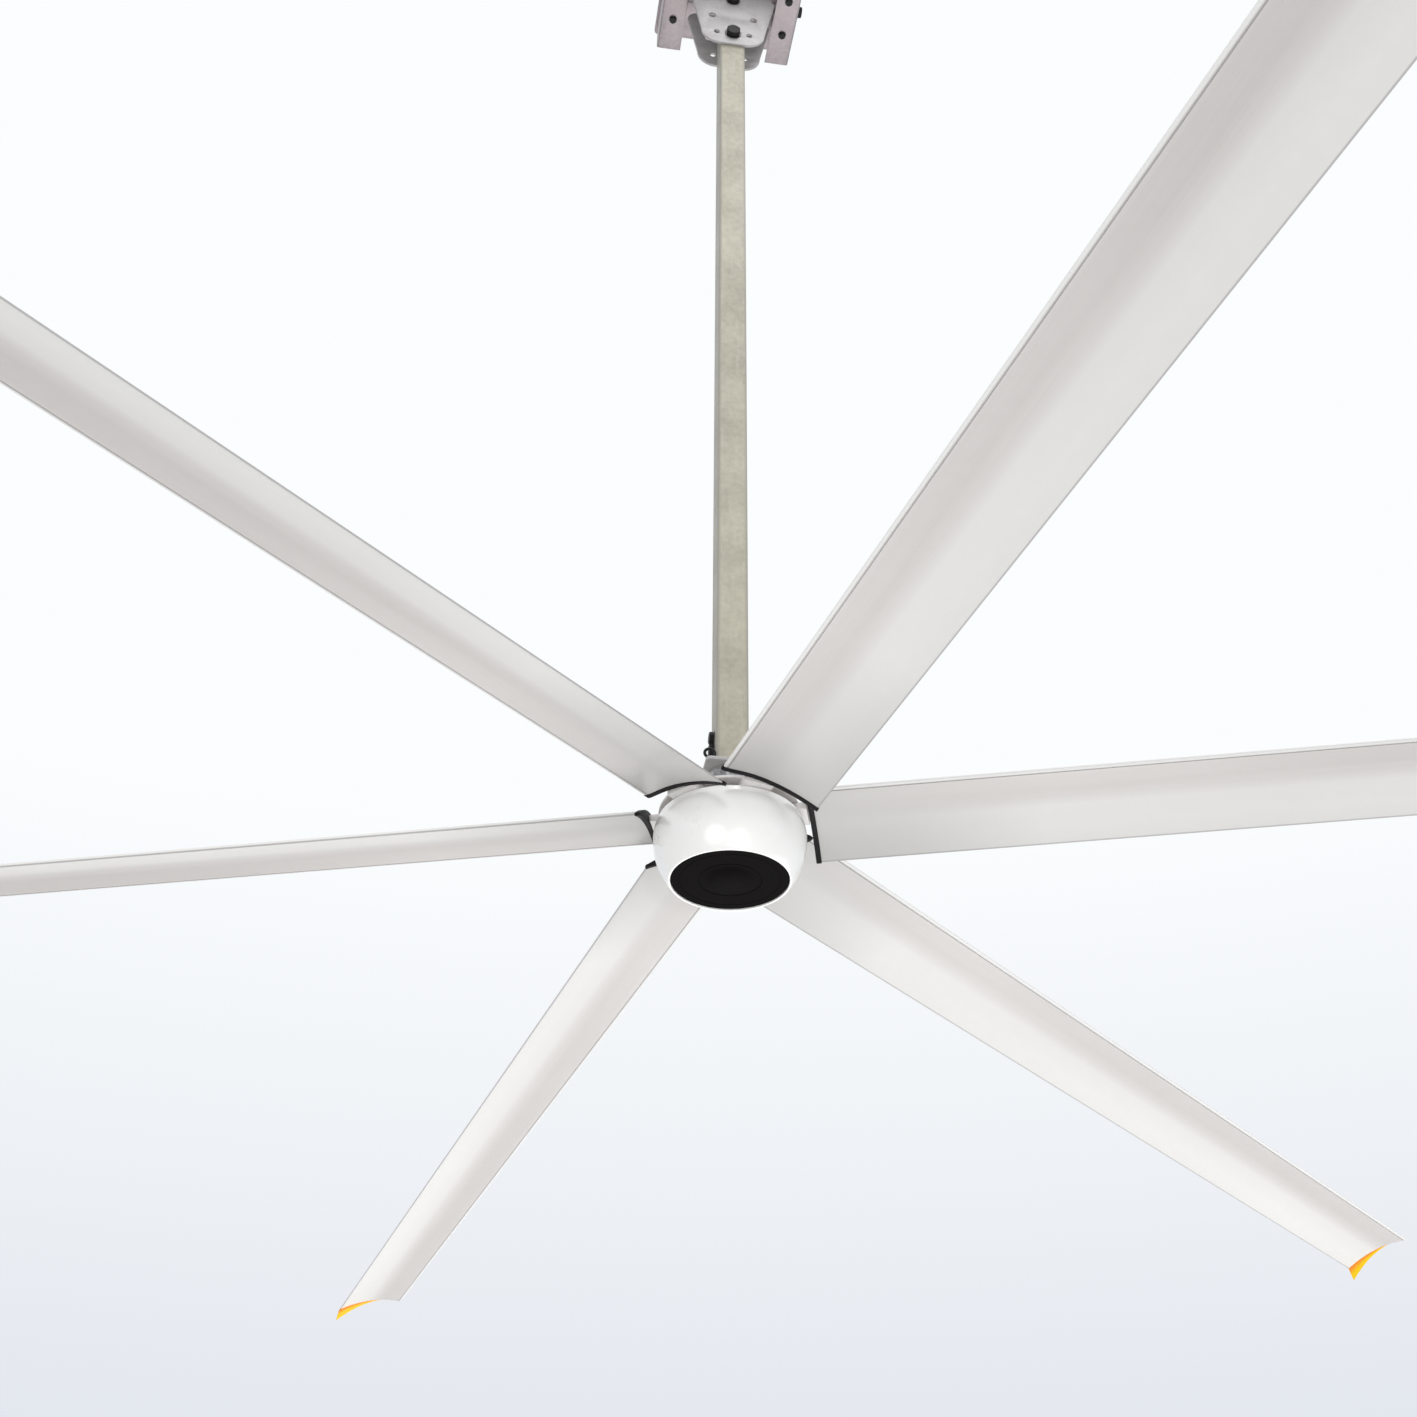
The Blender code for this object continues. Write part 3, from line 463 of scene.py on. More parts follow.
def lathe(profile, facets=None):
    """Rings of (radius, height) stacked one after another by extruding a circle."""
    deselect()
    radius, height = profile[0]
    bpy.ops.mesh.primitive_circle_add(vertices=facets or settings().facets, radius=radius, location=(0, 0, height))
    piece = bpy.context.object
    edit(piece)
    for next_radius, next_height in profile[1:]:
        bpy.ops.mesh.extrude_region_move(TRANSFORM_OT_translate={"value": (0, 0, next_height - height)})
        share = next_radius / radius
        bpy.ops.transform.resize(value=(share, share, 1), center_override=(0, 0, next_height))
        radius, height = next_radius, next_height
    leave_edit()
    return clean(grounded(piece))


def plate(loops, thickness, edge=0.0):
    """A flat outline with its holes, given thickness and a rounded edge."""
    curve = bpy.data.curves.new("plate", "CURVE")
    curve.dimensions = "2D"
    curve.fill_mode = "BOTH"
    curve.extrude = thickness / 2 - edge
    curve.bevel_depth = edge
    curve.bevel_resolution = 2
    curve.offset = -edge
    for loop in loops:
        spline = curve.splines.new("POLY")
        spline.points.add(len(loop) - 1)
        for point, (x, y) in zip(spline.points, loop):
            point.co = (x, y, 0, 1)
        spline.use_cyclic_u = True
    activate(linked("plate", curve))
    bpy.ops.object.convert(target="MESH")
    return clean(bpy.context.object)


# Outlines


def circle(x, y, radius, count=40):
    return arc(x, y, radius, 0, 2 * pi, count)[:count]


def arc(x, y, radius, start, end, steps=12):
    turns = [start + (end - start) * k / steps for k in range(steps + 1)]
    return [(x + radius * cos(turn), y + radius * sin(turn)) for turn in turns]


def rounded(corners, steps):
    """An outline from (x, y, radius) corners, each rounded by its radius."""
    points = []
    for k, (x, y, radius) in enumerate(corners):
        here = Vector((x, y))
        back = (Vector(corners[k - 1][:2]) - here).normalized()
        onward = (Vector(corners[(k + 1) % len(corners)][:2]) - here).normalized()
        half = back.angle(onward) / 2
        centre = here + (back + onward).normalized() * radius / sin(half)
        start = here + back * radius / tan(half) - centre
        end = here + onward * radius / tan(half) - centre
        first = atan2(start.y, start.x)
        swing = (atan2(end.y, end.x) - first + pi) % (2 * pi) - pi
        points += arc(centre.x, centre.y, radius, first, first + swing, steps)
    return points


def shifted(points, x, y):
    return [(x + point_x, y + point_y) for point_x, point_y in points]


def rounded_rectangle(size_x, size_y, corner, steps=8):
    x, y = size_x / 2, size_y / 2
    return rounded([(x, y, corner), (-x, y, corner), (-x, -y, corner), (x, -y, corner)], steps)


# Fasteners


def hex_block(radius, height):
    """A hexagon head or nut: its corners are turned off at both ends."""
    across = radius * flat_share
    head = cylinder(across / cos(pi / 6), height, 6)
    turning = close_ends(lathe([(across * wide, height * high) for wide, high in hex_turning], fine_facets))
    combined(head, turning, "INTERSECT")
    return clean(head, 25)


def washer(radius):
    """A flat ring on z = 0."""
    outer = radius * washer_share
    inner = radius * washer_hole_share
    edge = washer_thickness / 4
    ring = lathe(
        [
            (inner, 0), (outer - edge, 0), (outer, edge), (outer, washer_thickness - edge),
            (outer - edge, washer_thickness), (inner, washer_thickness), (inner, 0),
        ],
        fine_facets,
    )
    return dressed(ring, "washer_zinc")


def shank(radius, start, end):
    """A plain rod with its far end chamfered."""
    core = radius * core_share
    chamfer = [(radius, end + core), (radius * shank_end_share, end), (core, end)]
    return close_ends(lathe([(core, start), (radius, start)] + chamfer, rod_facets))


def threaded_end(radius, start, end, pitch):
    """A length of shank ribbed as a thread is."""
    turns = max(2, round((start - end) / pitch))
    step = (start - end) / turns
    core, root = radius * core_share, radius * thread_root_share
    profile = [(core, start), (root, start)]
    for k in range(turns):
        profile += [(radius, start - step * (k + thread_crest)), (root, start - step * (k + thread_root))]
    profile += [(radius * thread_tip_share, end), (core, end)]
    return close_ends(lathe(profile, thread_facets))


def bolt(radius, reach, nut_at=None):
    """A washer on z = 0 with the head on it, the shank below, and a nut with its washer at nut_at."""
    core = radius * shank_share
    steel = [
        moved(hex_block(radius, radius * head_share), at(0, 0, washer_thickness)),
        shank(core, washer_thickness, -reach if nut_at is None else -nut_at),
    ]
    rings = [washer(radius)]
    if nut_at is not None:
        nut_top = -nut_at - washer_thickness
        nut_height = radius * nut_share
        steel.append(moved(hex_block(radius, nut_height), at(0, 0, nut_top - nut_height)))
        steel.append(threaded_end(core, -nut_at, -reach - washer_thickness, radius * thread_pitch_share))
        rings.append(moved(washer(radius), at(0, 0, nut_top)))
    for part in steel:
        dressed(part, "black_steel")
    return joined(steel + rings)


def add_through_bolt(name, node_name, body, radius, span, place):
    """A bolt with its nut on the far side of what it holds."""
    piece = bolt(radius, span + radius * (nut_share + past_nut_share), span)
    settle(piece, name, place, body, "black_steel", [node_name])


# Node groups


def feed(tree, socket, value):
    """Links another node's socket, or sets a plain value."""
    if isinstance(value, bpy.types.NodeSocket):
        tree.links.new(value, socket)
    else:
        socket.default_value = value


def fill(tree, made, inputs):
    """Feeds a node's inputs by their names, with _ for a space."""
    for name, value in inputs.items():
        feed(tree, made.inputs[name.replace("_", " ")], value)


def node(tree, kind, options=None, **inputs):
    """A node whose named inputs take either a value or another node's socket."""
    made = tree.nodes.new(kind)
    for name, value in (options or {}).items():
        setattr(made, name, value)
    fill(tree, made, inputs)
    return made


def new_group(name, inputs, outputs):
    """A group whose inputs are numbers, or vectors where the default isn't a number, and whose outputs are masks."""
    tree = bpy.data.node_groups.new(name, "ShaderNodeTree")
    for label, default in inputs.items():
        kind = "NodeSocketFloat" if isinstance(default, float) else "NodeSocketVector"
        socket = tree.interface.new_socket(name=label, in_out="INPUT", socket_type=kind)
        if default is not None:
            socket.default_value = default
    for label in outputs:
        tree.interface.new_socket(name=label, in_out="OUTPUT", socket_type="NodeSocketFloat")
    return tree, tree.nodes.new("NodeGroupInput").outputs, tree.nodes.new("NodeGroupOutput").inputs


def placed_group(tree, name, **inputs):
    return node(tree, "ShaderNodeGroup", {"node_tree": bpy.data.node_groups[name]}, **inputs).outputs


def math(tree, operation, *values, kind="ShaderNodeMath"):
    made = node(tree, kind, {"operation": operation})
    for socket, value in zip(made.inputs, values):
        feed(tree, socket, value)
    return made.outputs[0]


def vector_math(tree, operation, *values):
    return math(tree, operation, *values, kind="ShaderNodeVectorMath")


def ranged(tree, value, low, high, new_low=0.0, new_high=1.0):
    return node(
        tree, "ShaderNodeMapRange", Value=value, From_Min=low, From_Max=high, To_Min=new_low, To_Max=new_high
    ).outputs["Result"]


def blended(tree, share, first, second):
    """Two colours mixed by a share."""
    made = node(tree, "ShaderNodeMix", {"data_type": "RGBA"})
    for place, value in ((0, share), (6, first), (7, second)):
        feed(tree, made.inputs[place], value)
    return made.outputs[2]


def noise(tree, place, scale, detail, roughness=0.5):
    return node(tree, "ShaderNodeTexNoise", Vector=place, Scale=scale, Detail=detail, Roughness=roughness).outputs


def parts_of(tree, vector):
    return node(tree, "ShaderNodeSeparateXYZ", Vector=vector).outputs


def ramp(tree, share, stops):
    """A grey ramp through stops of (place, value)."""
    made = node(tree, "ShaderNodeValToRGB", Fac=share)
    elements = made.color_ramp.elements
    for element, (place, value) in zip(elements, (stops[0], stops[-1])):
        element.position, element.color = place, (value, value, value, 1)
    for place, value in stops[1:-1]:
        elements.new(place).color = (value, value, value, 1)
    return made.outputs[0]


def make_cloudy_patches():
    """Soft patches over finer specks, as one mask from 0 to 1."""
    tree, given, out = new_group(
        "cloudy_patches", {"Place": None, "Patch Scale": 6.0, "Speck Scale": 90.0, "Speck Share": 0.3}, ["Mask"]
    )
    patches = ranged(tree, noise(tree, given["Place"], given["Patch Scale"], 4.0, 0.55)[0], 0.32, 0.68)
    specks = ranged(tree, noise(tree, given["Place"], given["Speck Scale"], 3.0, 0.6)[0], 0.35, 0.65)
    wide = math(tree, "MULTIPLY", patches, math(tree, "SUBTRACT", 1.0, given["Speck Share"]))
    fine = math(tree, "MULTIPLY", specks, given["Speck Share"])
    tree.links.new(math(tree, "ADD", wide, fine), out["Mask"])


def make_drawn_grain():
    """Long fine streaks along one direction, as metal keeps from drawing or brushing."""
    tree, given, out = new_group("drawn_grain", {"Place": None, "Along": (1.0, 1.0, 1.0), "Scale": 200.0}, ["Mask"])
    stretched = vector_math(tree, "MULTIPLY", given["Place"], given["Along"])
    streaks = noise(tree, stretched, given["Scale"], 3.0, 0.65)
    tree.links.new(ranged(tree, streaks[0], 0.3, 0.7), out["Mask"])


def make_zinc_spangle():
    """The crystal flakes of hot dipped zinc."""
    tree, given, out = new_group("zinc_spangle", {"Place": None, "Flake Scale": 95.0}, ["Mask", "Edges"])
    bent = noise(tree, given["Place"], 40.0, 2.0)["Color"]
    shift = vector_math(tree, "MULTIPLY", bent, (0.02, 0.02, 0.02))
    place = vector_math(tree, "ADD", given["Place"], shift)
    flakes = node(tree, "ShaderNodeTexVoronoi", Vector=place, Scale=given["Flake Scale"]).outputs
    tone = node(tree, "ShaderNodeSeparateColor", Color=flakes["Color"]).outputs[0]
    tree.links.new(tone, out["Mask"])
    tree.links.new(ranged(tree, flakes["Distance"], 0.2, 0.75), out["Edges"])


def make_chord_bands():
    """Lengthwise bands across a blade's chord, from a map of span (x) and chord share (y), with masks for painted
    shade in the nose groove and on the tail face, and for a painted highlight on the nose lip.
    """
    tree, given, out = new_group("chord_bands", {"Map": None, "Wander": 0.03}, ["Tone", "Painted Crease Shade", "Nose Highlight"])
    share = parts_of(tree, given["Map"])[1]
    slow = noise(tree, given["Map"], 1.3, 2.0)[0]
    drift = math(tree, "MULTIPLY", math(tree, "SUBTRACT", slow, 0.5), given["Wander"])
    for label, place, stops in (
        ("Tone", math(tree, "ADD", share, drift),
         ((0.0, 0.35), (0.08, 0.95), (0.30, 1.0), (0.42, 0.74), (0.54, 0.24), (0.80, 0.0), (0.95, 0.0))),
        ("Painted Crease Shade", share, ((0.030, 0.0), (0.040, 1.0), (0.046, 1.0), (0.056, 0.0), (0.982, 0.0), (0.990, 1.0))),
        ("Nose Highlight", share, ((0.0, 1.0), (0.022, 1.0), (0.034, 0.0))),
    ):
        tree.links.new(ramp(tree, place, stops), out[label])


# Materials


def new_material(name, **values):
    """A principled material with its fixed values on the shader itself."""
    material = bpy.data.materials.new(name)
    material.use_nodes = True
    tree = material.node_tree
    shader = tree.nodes["Principled BSDF"]
    fill(tree, shader, values)
    return material, tree, shader.inputs, tree.nodes.new("ShaderNodeTexCoord").outputs["Object"]


def rgba(colour):
    return (*colour, 1)


def cloudy(tree, place, patch_scale, speck_scale, speck_share=0.3):
    return placed_group(
        tree, "cloudy_patches", Place=place, Patch_Scale=patch_scale, Speck_Scale=speck_scale, Speck_Share=speck_share
    )["Mask"]


def grained(tree, place, along, scale):
    return placed_group(tree, "drawn_grain", Place=place, Along=along, Scale=scale)["Mask"]


def toned(tree, mask, amount, tone, colour):
    """A colour laid over the tone through a mask, by an amount."""
    return blended(tree, math(tree, "MULTIPLY", mask, amount), tone, rgba(colour))


def surfaced(tree, inputs, colour, mask, rough, height, strength, distance=0.0005):
    """Links the colour, a roughness between two values by a mask, and a bump from a height."""
    tree.links.new(colour, inputs["Base Color"])
    tree.links.new(ranged(tree, mask, 0.0, 1.0, *rough), inputs["Roughness"])
    bump = node(tree, "ShaderNodeBump", Strength=strength, Distance=distance, Height=height)
    tree.links.new(bump.outputs["Normal"], inputs["Normal"])


def painted(name, base, other, rough, patch_scale, speck_scale, bump, **values):
    """A paint or coat: two close tones in cloudy patches, with a faint orange peel."""
    material, tree, inputs, place = new_material(name, **values)
    mask = cloudy(tree, place, patch_scale, speck_scale, 0.35)
    peel = noise(tree, place, speck_scale * 4, 2.0)[0]
    colour = blended(tree, mask, rgba(base), rgba(other))
    surfaced(tree, inputs, colour, mask, (rough - 0.05, rough + 0.07), peel, bump)
    return material


def bare_metal(name, base, other, rough, along, grain_scale, bump):
    """Bare metal with a drawn grain."""
    material, tree, inputs, place = new_material(name, Metallic=1.0)
    grain = grained(tree, place, along, grain_scale)
    share = math(tree, "MULTIPLY", math(tree, "ADD", grain, cloudy(tree, place, 9.0, 140.0)), 0.5)
    colour = blended(tree, share, rgba(base), rgba(other))
    surfaced(tree, inputs, colour, share, (rough - 0.08, rough + 0.10), grain, bump)
    return material


def galvanised():
    """Hot dipped zinc, duller in patches."""
    material, tree, inputs, place = new_material("galvanised_steel", Metallic=0.75)
    flakes = placed_group(tree, "zinc_spangle", Place=place)
    tone = blended(tree, flakes["Mask"], (0.33, 0.29, 0.308, 1), (0.47, 0.43, 0.448, 1))
    tone = toned(tree, cloudy(tree, place, 11.0, 120.0), 0.45, tone, (0.27, 0.228, 0.246))
    surfaced(tree, inputs, tone, flakes["Mask"], (0.34, 0.52), flakes["Edges"], 0.06, 0.0004)
    return material


def tube_primer():
    """The downrod's grey green coat, uneven, with short lengthwise scuffs and painted shade on its two sides."""
    colour = settings().tube_colour
    material, tree, inputs, place = new_material("downrod_primer", Specular_IOR_Level=0.45)
    patches = cloudy(tree, place, 7.0, 60.0, 0.4)
    scuffs = grained(tree, place, (1.0, 1.0, 0.12), 70.0)
    light = rgba([min(1, part * 1.14 + 0.02) for part in colour])
    dark = rgba([part * 0.80 for part in colour])
    tone = blended(tree, patches, dark, light)
    tone = toned(tree, ranged(tree, scuffs, 0.62, 0.95), 0.35, tone, (0.60, 0.58, 0.51))
    # Painted shade on the tube's left and right faces: darker towards either side in x, over a little more than a
    # corner's width
    wander = math(tree, "MULTIPLY", patches, tube_corner / 2)
    side = math(tree, "ADD", math(tree, "ABSOLUTE", parts_of(tree, place)[0]), wander)
    painted_side_shade = ranged(tree, side, tube_side / 2 - 1.3 * tube_corner, tube_side / 2)
    tone = toned(tree, painted_side_shade, 0.75, tone, (0.33, 0.32, 0.30))
    surfaced(tree, inputs, tone, patches, (0.55, 0.40), scuffs, 0.10)
    return material


def blade_coat():
    """Satin coat on drawn aluminium: lengthwise bands, a painted highlight on the nose lip, painted shade in the
    groove behind it and on the tail face, and painted shade of the hub towards the root.
    """
    chosen = settings()
    material, tree, inputs, place = new_material("blade_satin", Coat_Weight=0.25, Coat_Roughness=0.22)
    blade_map = node(tree, "ShaderNodeUVMap", {"uv_map": "blade_map"}).outputs[0]
    bands = placed_group(tree, "chord_bands", Map=blade_map)
    grain = grained(tree, blade_map, (0.6, 60.0, 1.0), 3.0)
    share = math(tree, "MULTIPLY", bands["Tone"], ranged(tree, grain, 0.0, 1.0, 0.80, 1.0))
    tone = blended(tree, share, rgba(chosen.blade_colour), rgba(chosen.band_colour))
    tone = toned(tree, cloudy(tree, place, 1.6, 24.0), 0.22, tone, (0.73, 0.705, 0.70))
    # Painted shade of the hub: darker towards the blade root, fading out by 0.70 m of span
    root = ranged(tree, parts_of(tree, blade_map)[0], blade_root, 0.70, 0.85, 0.0)
    tone = blended(tree, root, tone, (0.50, 0.49, 0.48, 1))
    # Painted shade in the groove behind the nose and on the blunt tail face
    tone = toned(tree, bands["Painted Crease Shade"], 0.55, tone, (0.30, 0.29, 0.30))
    # Painted highlight along the rounded nose lip
    tone = toned(tree, bands["Nose Highlight"], 0.9, tone, (0.90, 0.90, 0.90))
    surfaced(tree, inputs, tone, grain, (0.36, 0.48), grain, 0.05)
    return material


def tip_coat():
    """Moulded plastic, painted lit and shaded: lit yellow at the edge and a painted shade of deeper orange towards
    the blade.
    """
    chosen = settings()
    material, tree, inputs, place = new_material(
        "tip_plastic", Coat_Weight=0.12, Coat_Roughness=0.25, Specular_IOR_Level=0.22
    )
    blade_map = node(tree, "ShaderNodeUVMap", {"uv_map": "blade_map"}).outputs[0]
    patches = cloudy(tree, place, 30.0, 400.0)
    # Painted shade: the winglet runs from the painted shade colour at the blade end to the lit colour further out
    reach = ranged(tree, parts_of(tree, blade_map)[0], 0.25, 0.72)
    share = math(tree, "ADD", math(tree, "MULTIPLY", reach, 0.85), math(tree, "MULTIPLY", patches, 0.15))
    colour = blended(tree, share, rgba(chosen.tip_shade), rgba(chosen.tip_colour))
    surfaced(tree, inputs, colour, patches, (0.28, 0.40), noise(tree, place, 900.0, 2.0)[0], 0.05)
    return material


def laminated():
    """Thin steel sheets stacked one on another."""
    material, tree, inputs, place = new_material("core_steel", Metallic=0.9)
    sheets = node(
        tree, "ShaderNodeTexWave", {"bands_direction": "Z", "wave_profile": "SAW"},
        Vector=place, Scale=320.0, Distortion=0.3,
    ).outputs["Fac"]
    tone = blended(tree, cloudy(tree, place, 18.0, 200.0), (0.25, 0.26, 0.28, 1), (0.38, 0.38, 0.40, 1))
    tone = toned(tree, sheets, 0.4, tone, (0.12, 0.12, 0.13))
    surfaced(tree, inputs, tone, sheets, (0.38, 0.58), sheets, 0.3)
    return material


def wound_copper():
    """Enamelled wire, laid turn on turn."""
    material, tree, inputs, place = new_material("copper_wire", Metallic=0.85, Coat_Weight=0.5, Coat_Roughness=0.12)
    turns = node(
        tree, "ShaderNodeTexWave", {"wave_type": "RINGS", "rings_direction": "Z"},
        Vector=place, Scale=210.0, Distortion=1.2, Detail=1.0,
    ).outputs["Fac"]
    tone = blended(tree, cloudy(tree, place, 25.0, 260.0), (0.66, 0.27, 0.10, 1), (0.80, 0.39, 0.16, 1))
    tone = toned(tree, turns, 0.5, tone, (0.22, 0.07, 0.03))
    surfaced(tree, inputs, tone, turns, (0.28, 0.46), turns, 0.4)
    return material


def make_materials():
    """Every finish of the fan, by its slot name."""
    for make in (make_cloudy_patches, make_drawn_grain, make_zinc_spangle, make_chord_bands):
        make()
    bowl = settings().bowl_colour
    made = {
        "galvanised_steel": galvanised(), "tube_paint": tube_primer(), "blade_satin": blade_coat(),
        "tip_yellow": tip_coat(), "core_steel": laminated(), "copper_wire": wound_copper(),
    }
    # name, two tones, roughness, scales of patches and specks, bump, other values of the shader
    for name, *looks, values in (
        ("pale_paint", (0.42, 0.405, 0.412), (0.55, 0.538, 0.542), 0.45, 22.0, 110.0, 0.10, {"Metallic": 0.25}),
        ("black_steel", (0.010, 0.009, 0.010), (0.024, 0.022, 0.024), 0.46, 60.0, 420.0, 0.12,
         {"Specular_IOR_Level": 0.22}),
        ("white_gloss", bowl, [part * 0.965 for part in bowl], 0.30, 5.0, 70.0, 0.015,
         {"Coat_Weight": 1.0, "Coat_Roughness": 0.18, "Specular_IOR_Level": 0.9, "Coat_IOR": 1.8}),
        ("black_gloss", (0.0035, 0.0028, 0.0032), (0.0060, 0.0048, 0.0055), 0.45, 22.0, 180.0, 0.01,
         {"Specular_IOR_Level": 0.01}),
        ("black_rubber", (0.008, 0.007, 0.008), (0.020, 0.018, 0.020), 0.62, 40.0, 380.0, 0.20,
         {"Specular_IOR_Level": 0.18}),
        ("cast_aluminium", (0.74, 0.715, 0.70), (0.83, 0.81, 0.80), 0.50, 16.0, 260.0, 0.16, {"Metallic": 0.2}),
    ):
        made[name] = painted(name, *looks, **values)
    # name, two tones, roughness, stretch and scale of the grain, bump
    for name, *looks in (
        ("bearing_steel", (0.62, 0.63, 0.65), (0.78, 0.79, 0.80), 0.24, (1.0, 1.0, 12.0), 60.0, 0.05),
        ("magnet_grey", (0.16, 0.16, 0.17), (0.25, 0.25, 0.26), 0.40, (1.0, 1.0, 4.0), 90.0, 0.08),
        ("washer_zinc", (0.10, 0.10, 0.10), (0.17, 0.165, 0.165), 0.42, (1.0, 1.0, 1.0), 260.0, 0.06),
    ):
        made[name] = bare_metal(name, *looks)
    return made


finish = {}


def assign(slot, *names):
    """Gives a slot's finish to CAD nodes that keep their shape."""
    for name in names:
        for place in bpy.data.objects[name].material_slots:
            place.material = finish[slot]


# Blade section


def section_turn():
    """Stands a flat section, its x along the chord and its y up, across the blade."""
    chord = Vector((0, cos(blade_pitch), -sin(blade_pitch)))
    up = Vector((0, sin(blade_pitch), cos(blade_pitch)))
    return Matrix((chord, up, chord.cross(up))).transposed().to_4x4()


def half_thickness(share):
    """Half the thickness of a four digit wing section, with its tail kept blunt."""
    curve = 0.2969 * sqrt(share) - 0.1260 * share - 0.3516 * share**2 + 0.2843 * share**3 - 0.1015 * share**4
    return 5 * thickness_share * curve * blade_chord + share * tail_thickness / 2


def camber(share):
    """The height of a four digit wing section's mean line."""
    side = peak_share if share < peak_share else 1 - peak_share
    lift = 2 * peak_share * share - share**2 + (0 if share < peak_share else 1 - 2 * peak_share)
    return camber_share * blade_chord * lift / side**2


def section_outline(grow=0.0, groove=0.0):
    """The blade's section, tail to nose above and back below. A groove sets the nose lip off underneath."""
    shares = {(1 - cos(pi * k / outline_steps)) / 2 for k in range(outline_steps + 1)}
    if groove:
        shares = {share for share in shares if share < groove_shares[0] or share > groove_shares[-1]}
        shares.update(groove_shares)
    shares = sorted(shares)
    above = [(share * blade_chord - blade_lead, camber(share) + half_thickness(share) + grow) for share in shares]
    below = []
    for share in shares:
        lift = groove if share in groove_shares[1:3] else 0.0
        below.append((share * blade_chord - blade_lead, camber(share) - half_thickness(share) - grow + lift))
    if not grow:
        return above[::-1] + below[1:]
    for points, side in ((above, 1), (below, -1)):
        points[0] = (-blade_lead - grow, side * grow)
        points[-1] = (points[-1][0] + grow, points[-1][1])
    return above[::-1] + below


def cavity(start_x, end_x, steps):
    """The hollow between the skins, from one x of the section to another."""
    xs = [start_x + (end_x - start_x) * k / steps for k in range(steps + 1)]
    shares = [(x + blade_lead) / blade_chord for x in xs]
    upper = [(x, camber(share) + half_thickness(share) - skin) for x, share in zip(xs, shares)]
    lower = [(x, camber(share) - half_thickness(share) + skin) for x, share in zip(xs, shares)]
    return upper + lower[::-1]


def arm_middle():
    """The arm lies a little under the section's mean line."""
    return camber(blade_lead / blade_chord) - arm_sink


def arm_slot():
    return shifted(rounded_rectangle(slot_width, slot_height, slot_corner, 3), 0, arm_middle())


def blade_top():
    share = blade_lead / blade_chord
    return camber(share) + half_thickness(share)


def add_blade_map(piece, turn):
    """A map of span and chord share, read from the flat section, with its length along z."""
    layer = piece.data.uv_layers.new(name="blade_map")
    for loop in piece.data.loops:
        point = turn @ piece.data.vertices[loop.vertex_index].co
        layer.data[loop.index].uv = (point.z, (point.x + blade_lead) / blade_chord)


# Operators


class FAN_OT_hanger(bpy.types.Operator):
    """Ceiling plate, the two hanger angles and their bolts"""

    bl_idname = "fan.hanger"
    bl_label = "Hanger"

    def execute(self, context):
        self.mounting_plate()
        self.angle("left", -1)
        self.angle("right", 1)
        self.angle_bolts()
        self.pivot_bolt()
        return {"FINISHED"}

    def mounting_plate(self):
        size = plate_high - plate_low
        loops = [rounded_rectangle(size.x, size.y, anchor_plate_corner)]
        anchor_x, anchor_y = size.x / 2 - anchor_inset, size.y / 2 - anchor_inset
        for x, y in foot_bolt_places:
            loops.append(circle(copysign(anchor_x, x), copysign(anchor_y, y), anchor_radius))
            loops.append(circle(x, y, angle_bolt_radius * loose_hole_share, 24))
        piece = plate(loops, size.z, anchor_plate_edge)
        middle = (plate_high.z + plate_low.z) / 2
        settle(piece, "ceiling_plate", at(0, 0, middle), "hanger", "galvanised_steel", ["mounting_plate"])

    def angle(self, name, side):
        """A bent angle under the plate: its web outside, its foot turned in, with a pivot hole and two slots."""
        top = plate_low.z - seat_gap
        bottom = top - angle_height
        ledge = bottom + angle_wall
        outer, inner, toe = (side * (angle_outer - inset) for inset in (0, angle_wall, angle_foot))
        places = ((outer, bottom), (outer, top), (inner, top), (inner, ledge), (toe, ledge), (toe, bottom))
        outline = rounded([(*place, corner) for place, corner in zip(places, angle_corners)], 7)
        piece = moved(plate([outline], angle_length, angle_edge), turn_y)
        pivot_place = at(side * angle_outer - angle_foot / 2, 0, upper_pivot_z) @ turn_x
        drilled(piece, pivot_radius * angle_hole_share, angle_foot, pivot_place)
        for x, y in foot_bolt_places:
            if x * side > 0:
                slot = moved(plate([self.slot_outline()], 4 * angle_wall), at(x, y, bottom))
                combined(piece, slot, "DIFFERENCE")
        clean(piece)
        settle(piece, f"angle_{name}", Matrix.Identity(4), "hanger", "galvanised_steel", [f"hanger_angle_{name}"])

    def slot_outline(self):
        reach = angle_bolt_radius * slot_reach_share
        radius = angle_bolt_radius * loose_hole_share
        return arc(reach, 0, radius, -pi / 2, pi / 2) + arc(-reach, 0, radius, pi / 2, 3 * pi / 2)

    def angle_bolts(self):
        face = plate_low.z - angle_height - 2 * seat_gap
        model = bolt(angle_bolt_radius, angle_height + angle_bolt_radius)
        for number, (x, y) in enumerate(foot_bolt_places, 1):
            settle(
                copied(model), f"foot_bolt_{number}", at(x, y, face) @ Matrix.Rotation(pi, 4, "X"), "hanger",
                "black_steel", [f"angle_bolt_{number}"],
            )
        removed(model)

    def pivot_bolt(self):
        span = 2 * (angle_outer + seat_gap)
        place = at(span / 2, 0, upper_pivot_z) @ turn_x
        add_through_bolt("upper_swivel_bolt", "upper_pivot_bolt", "hanger", pivot_radius, span, place)


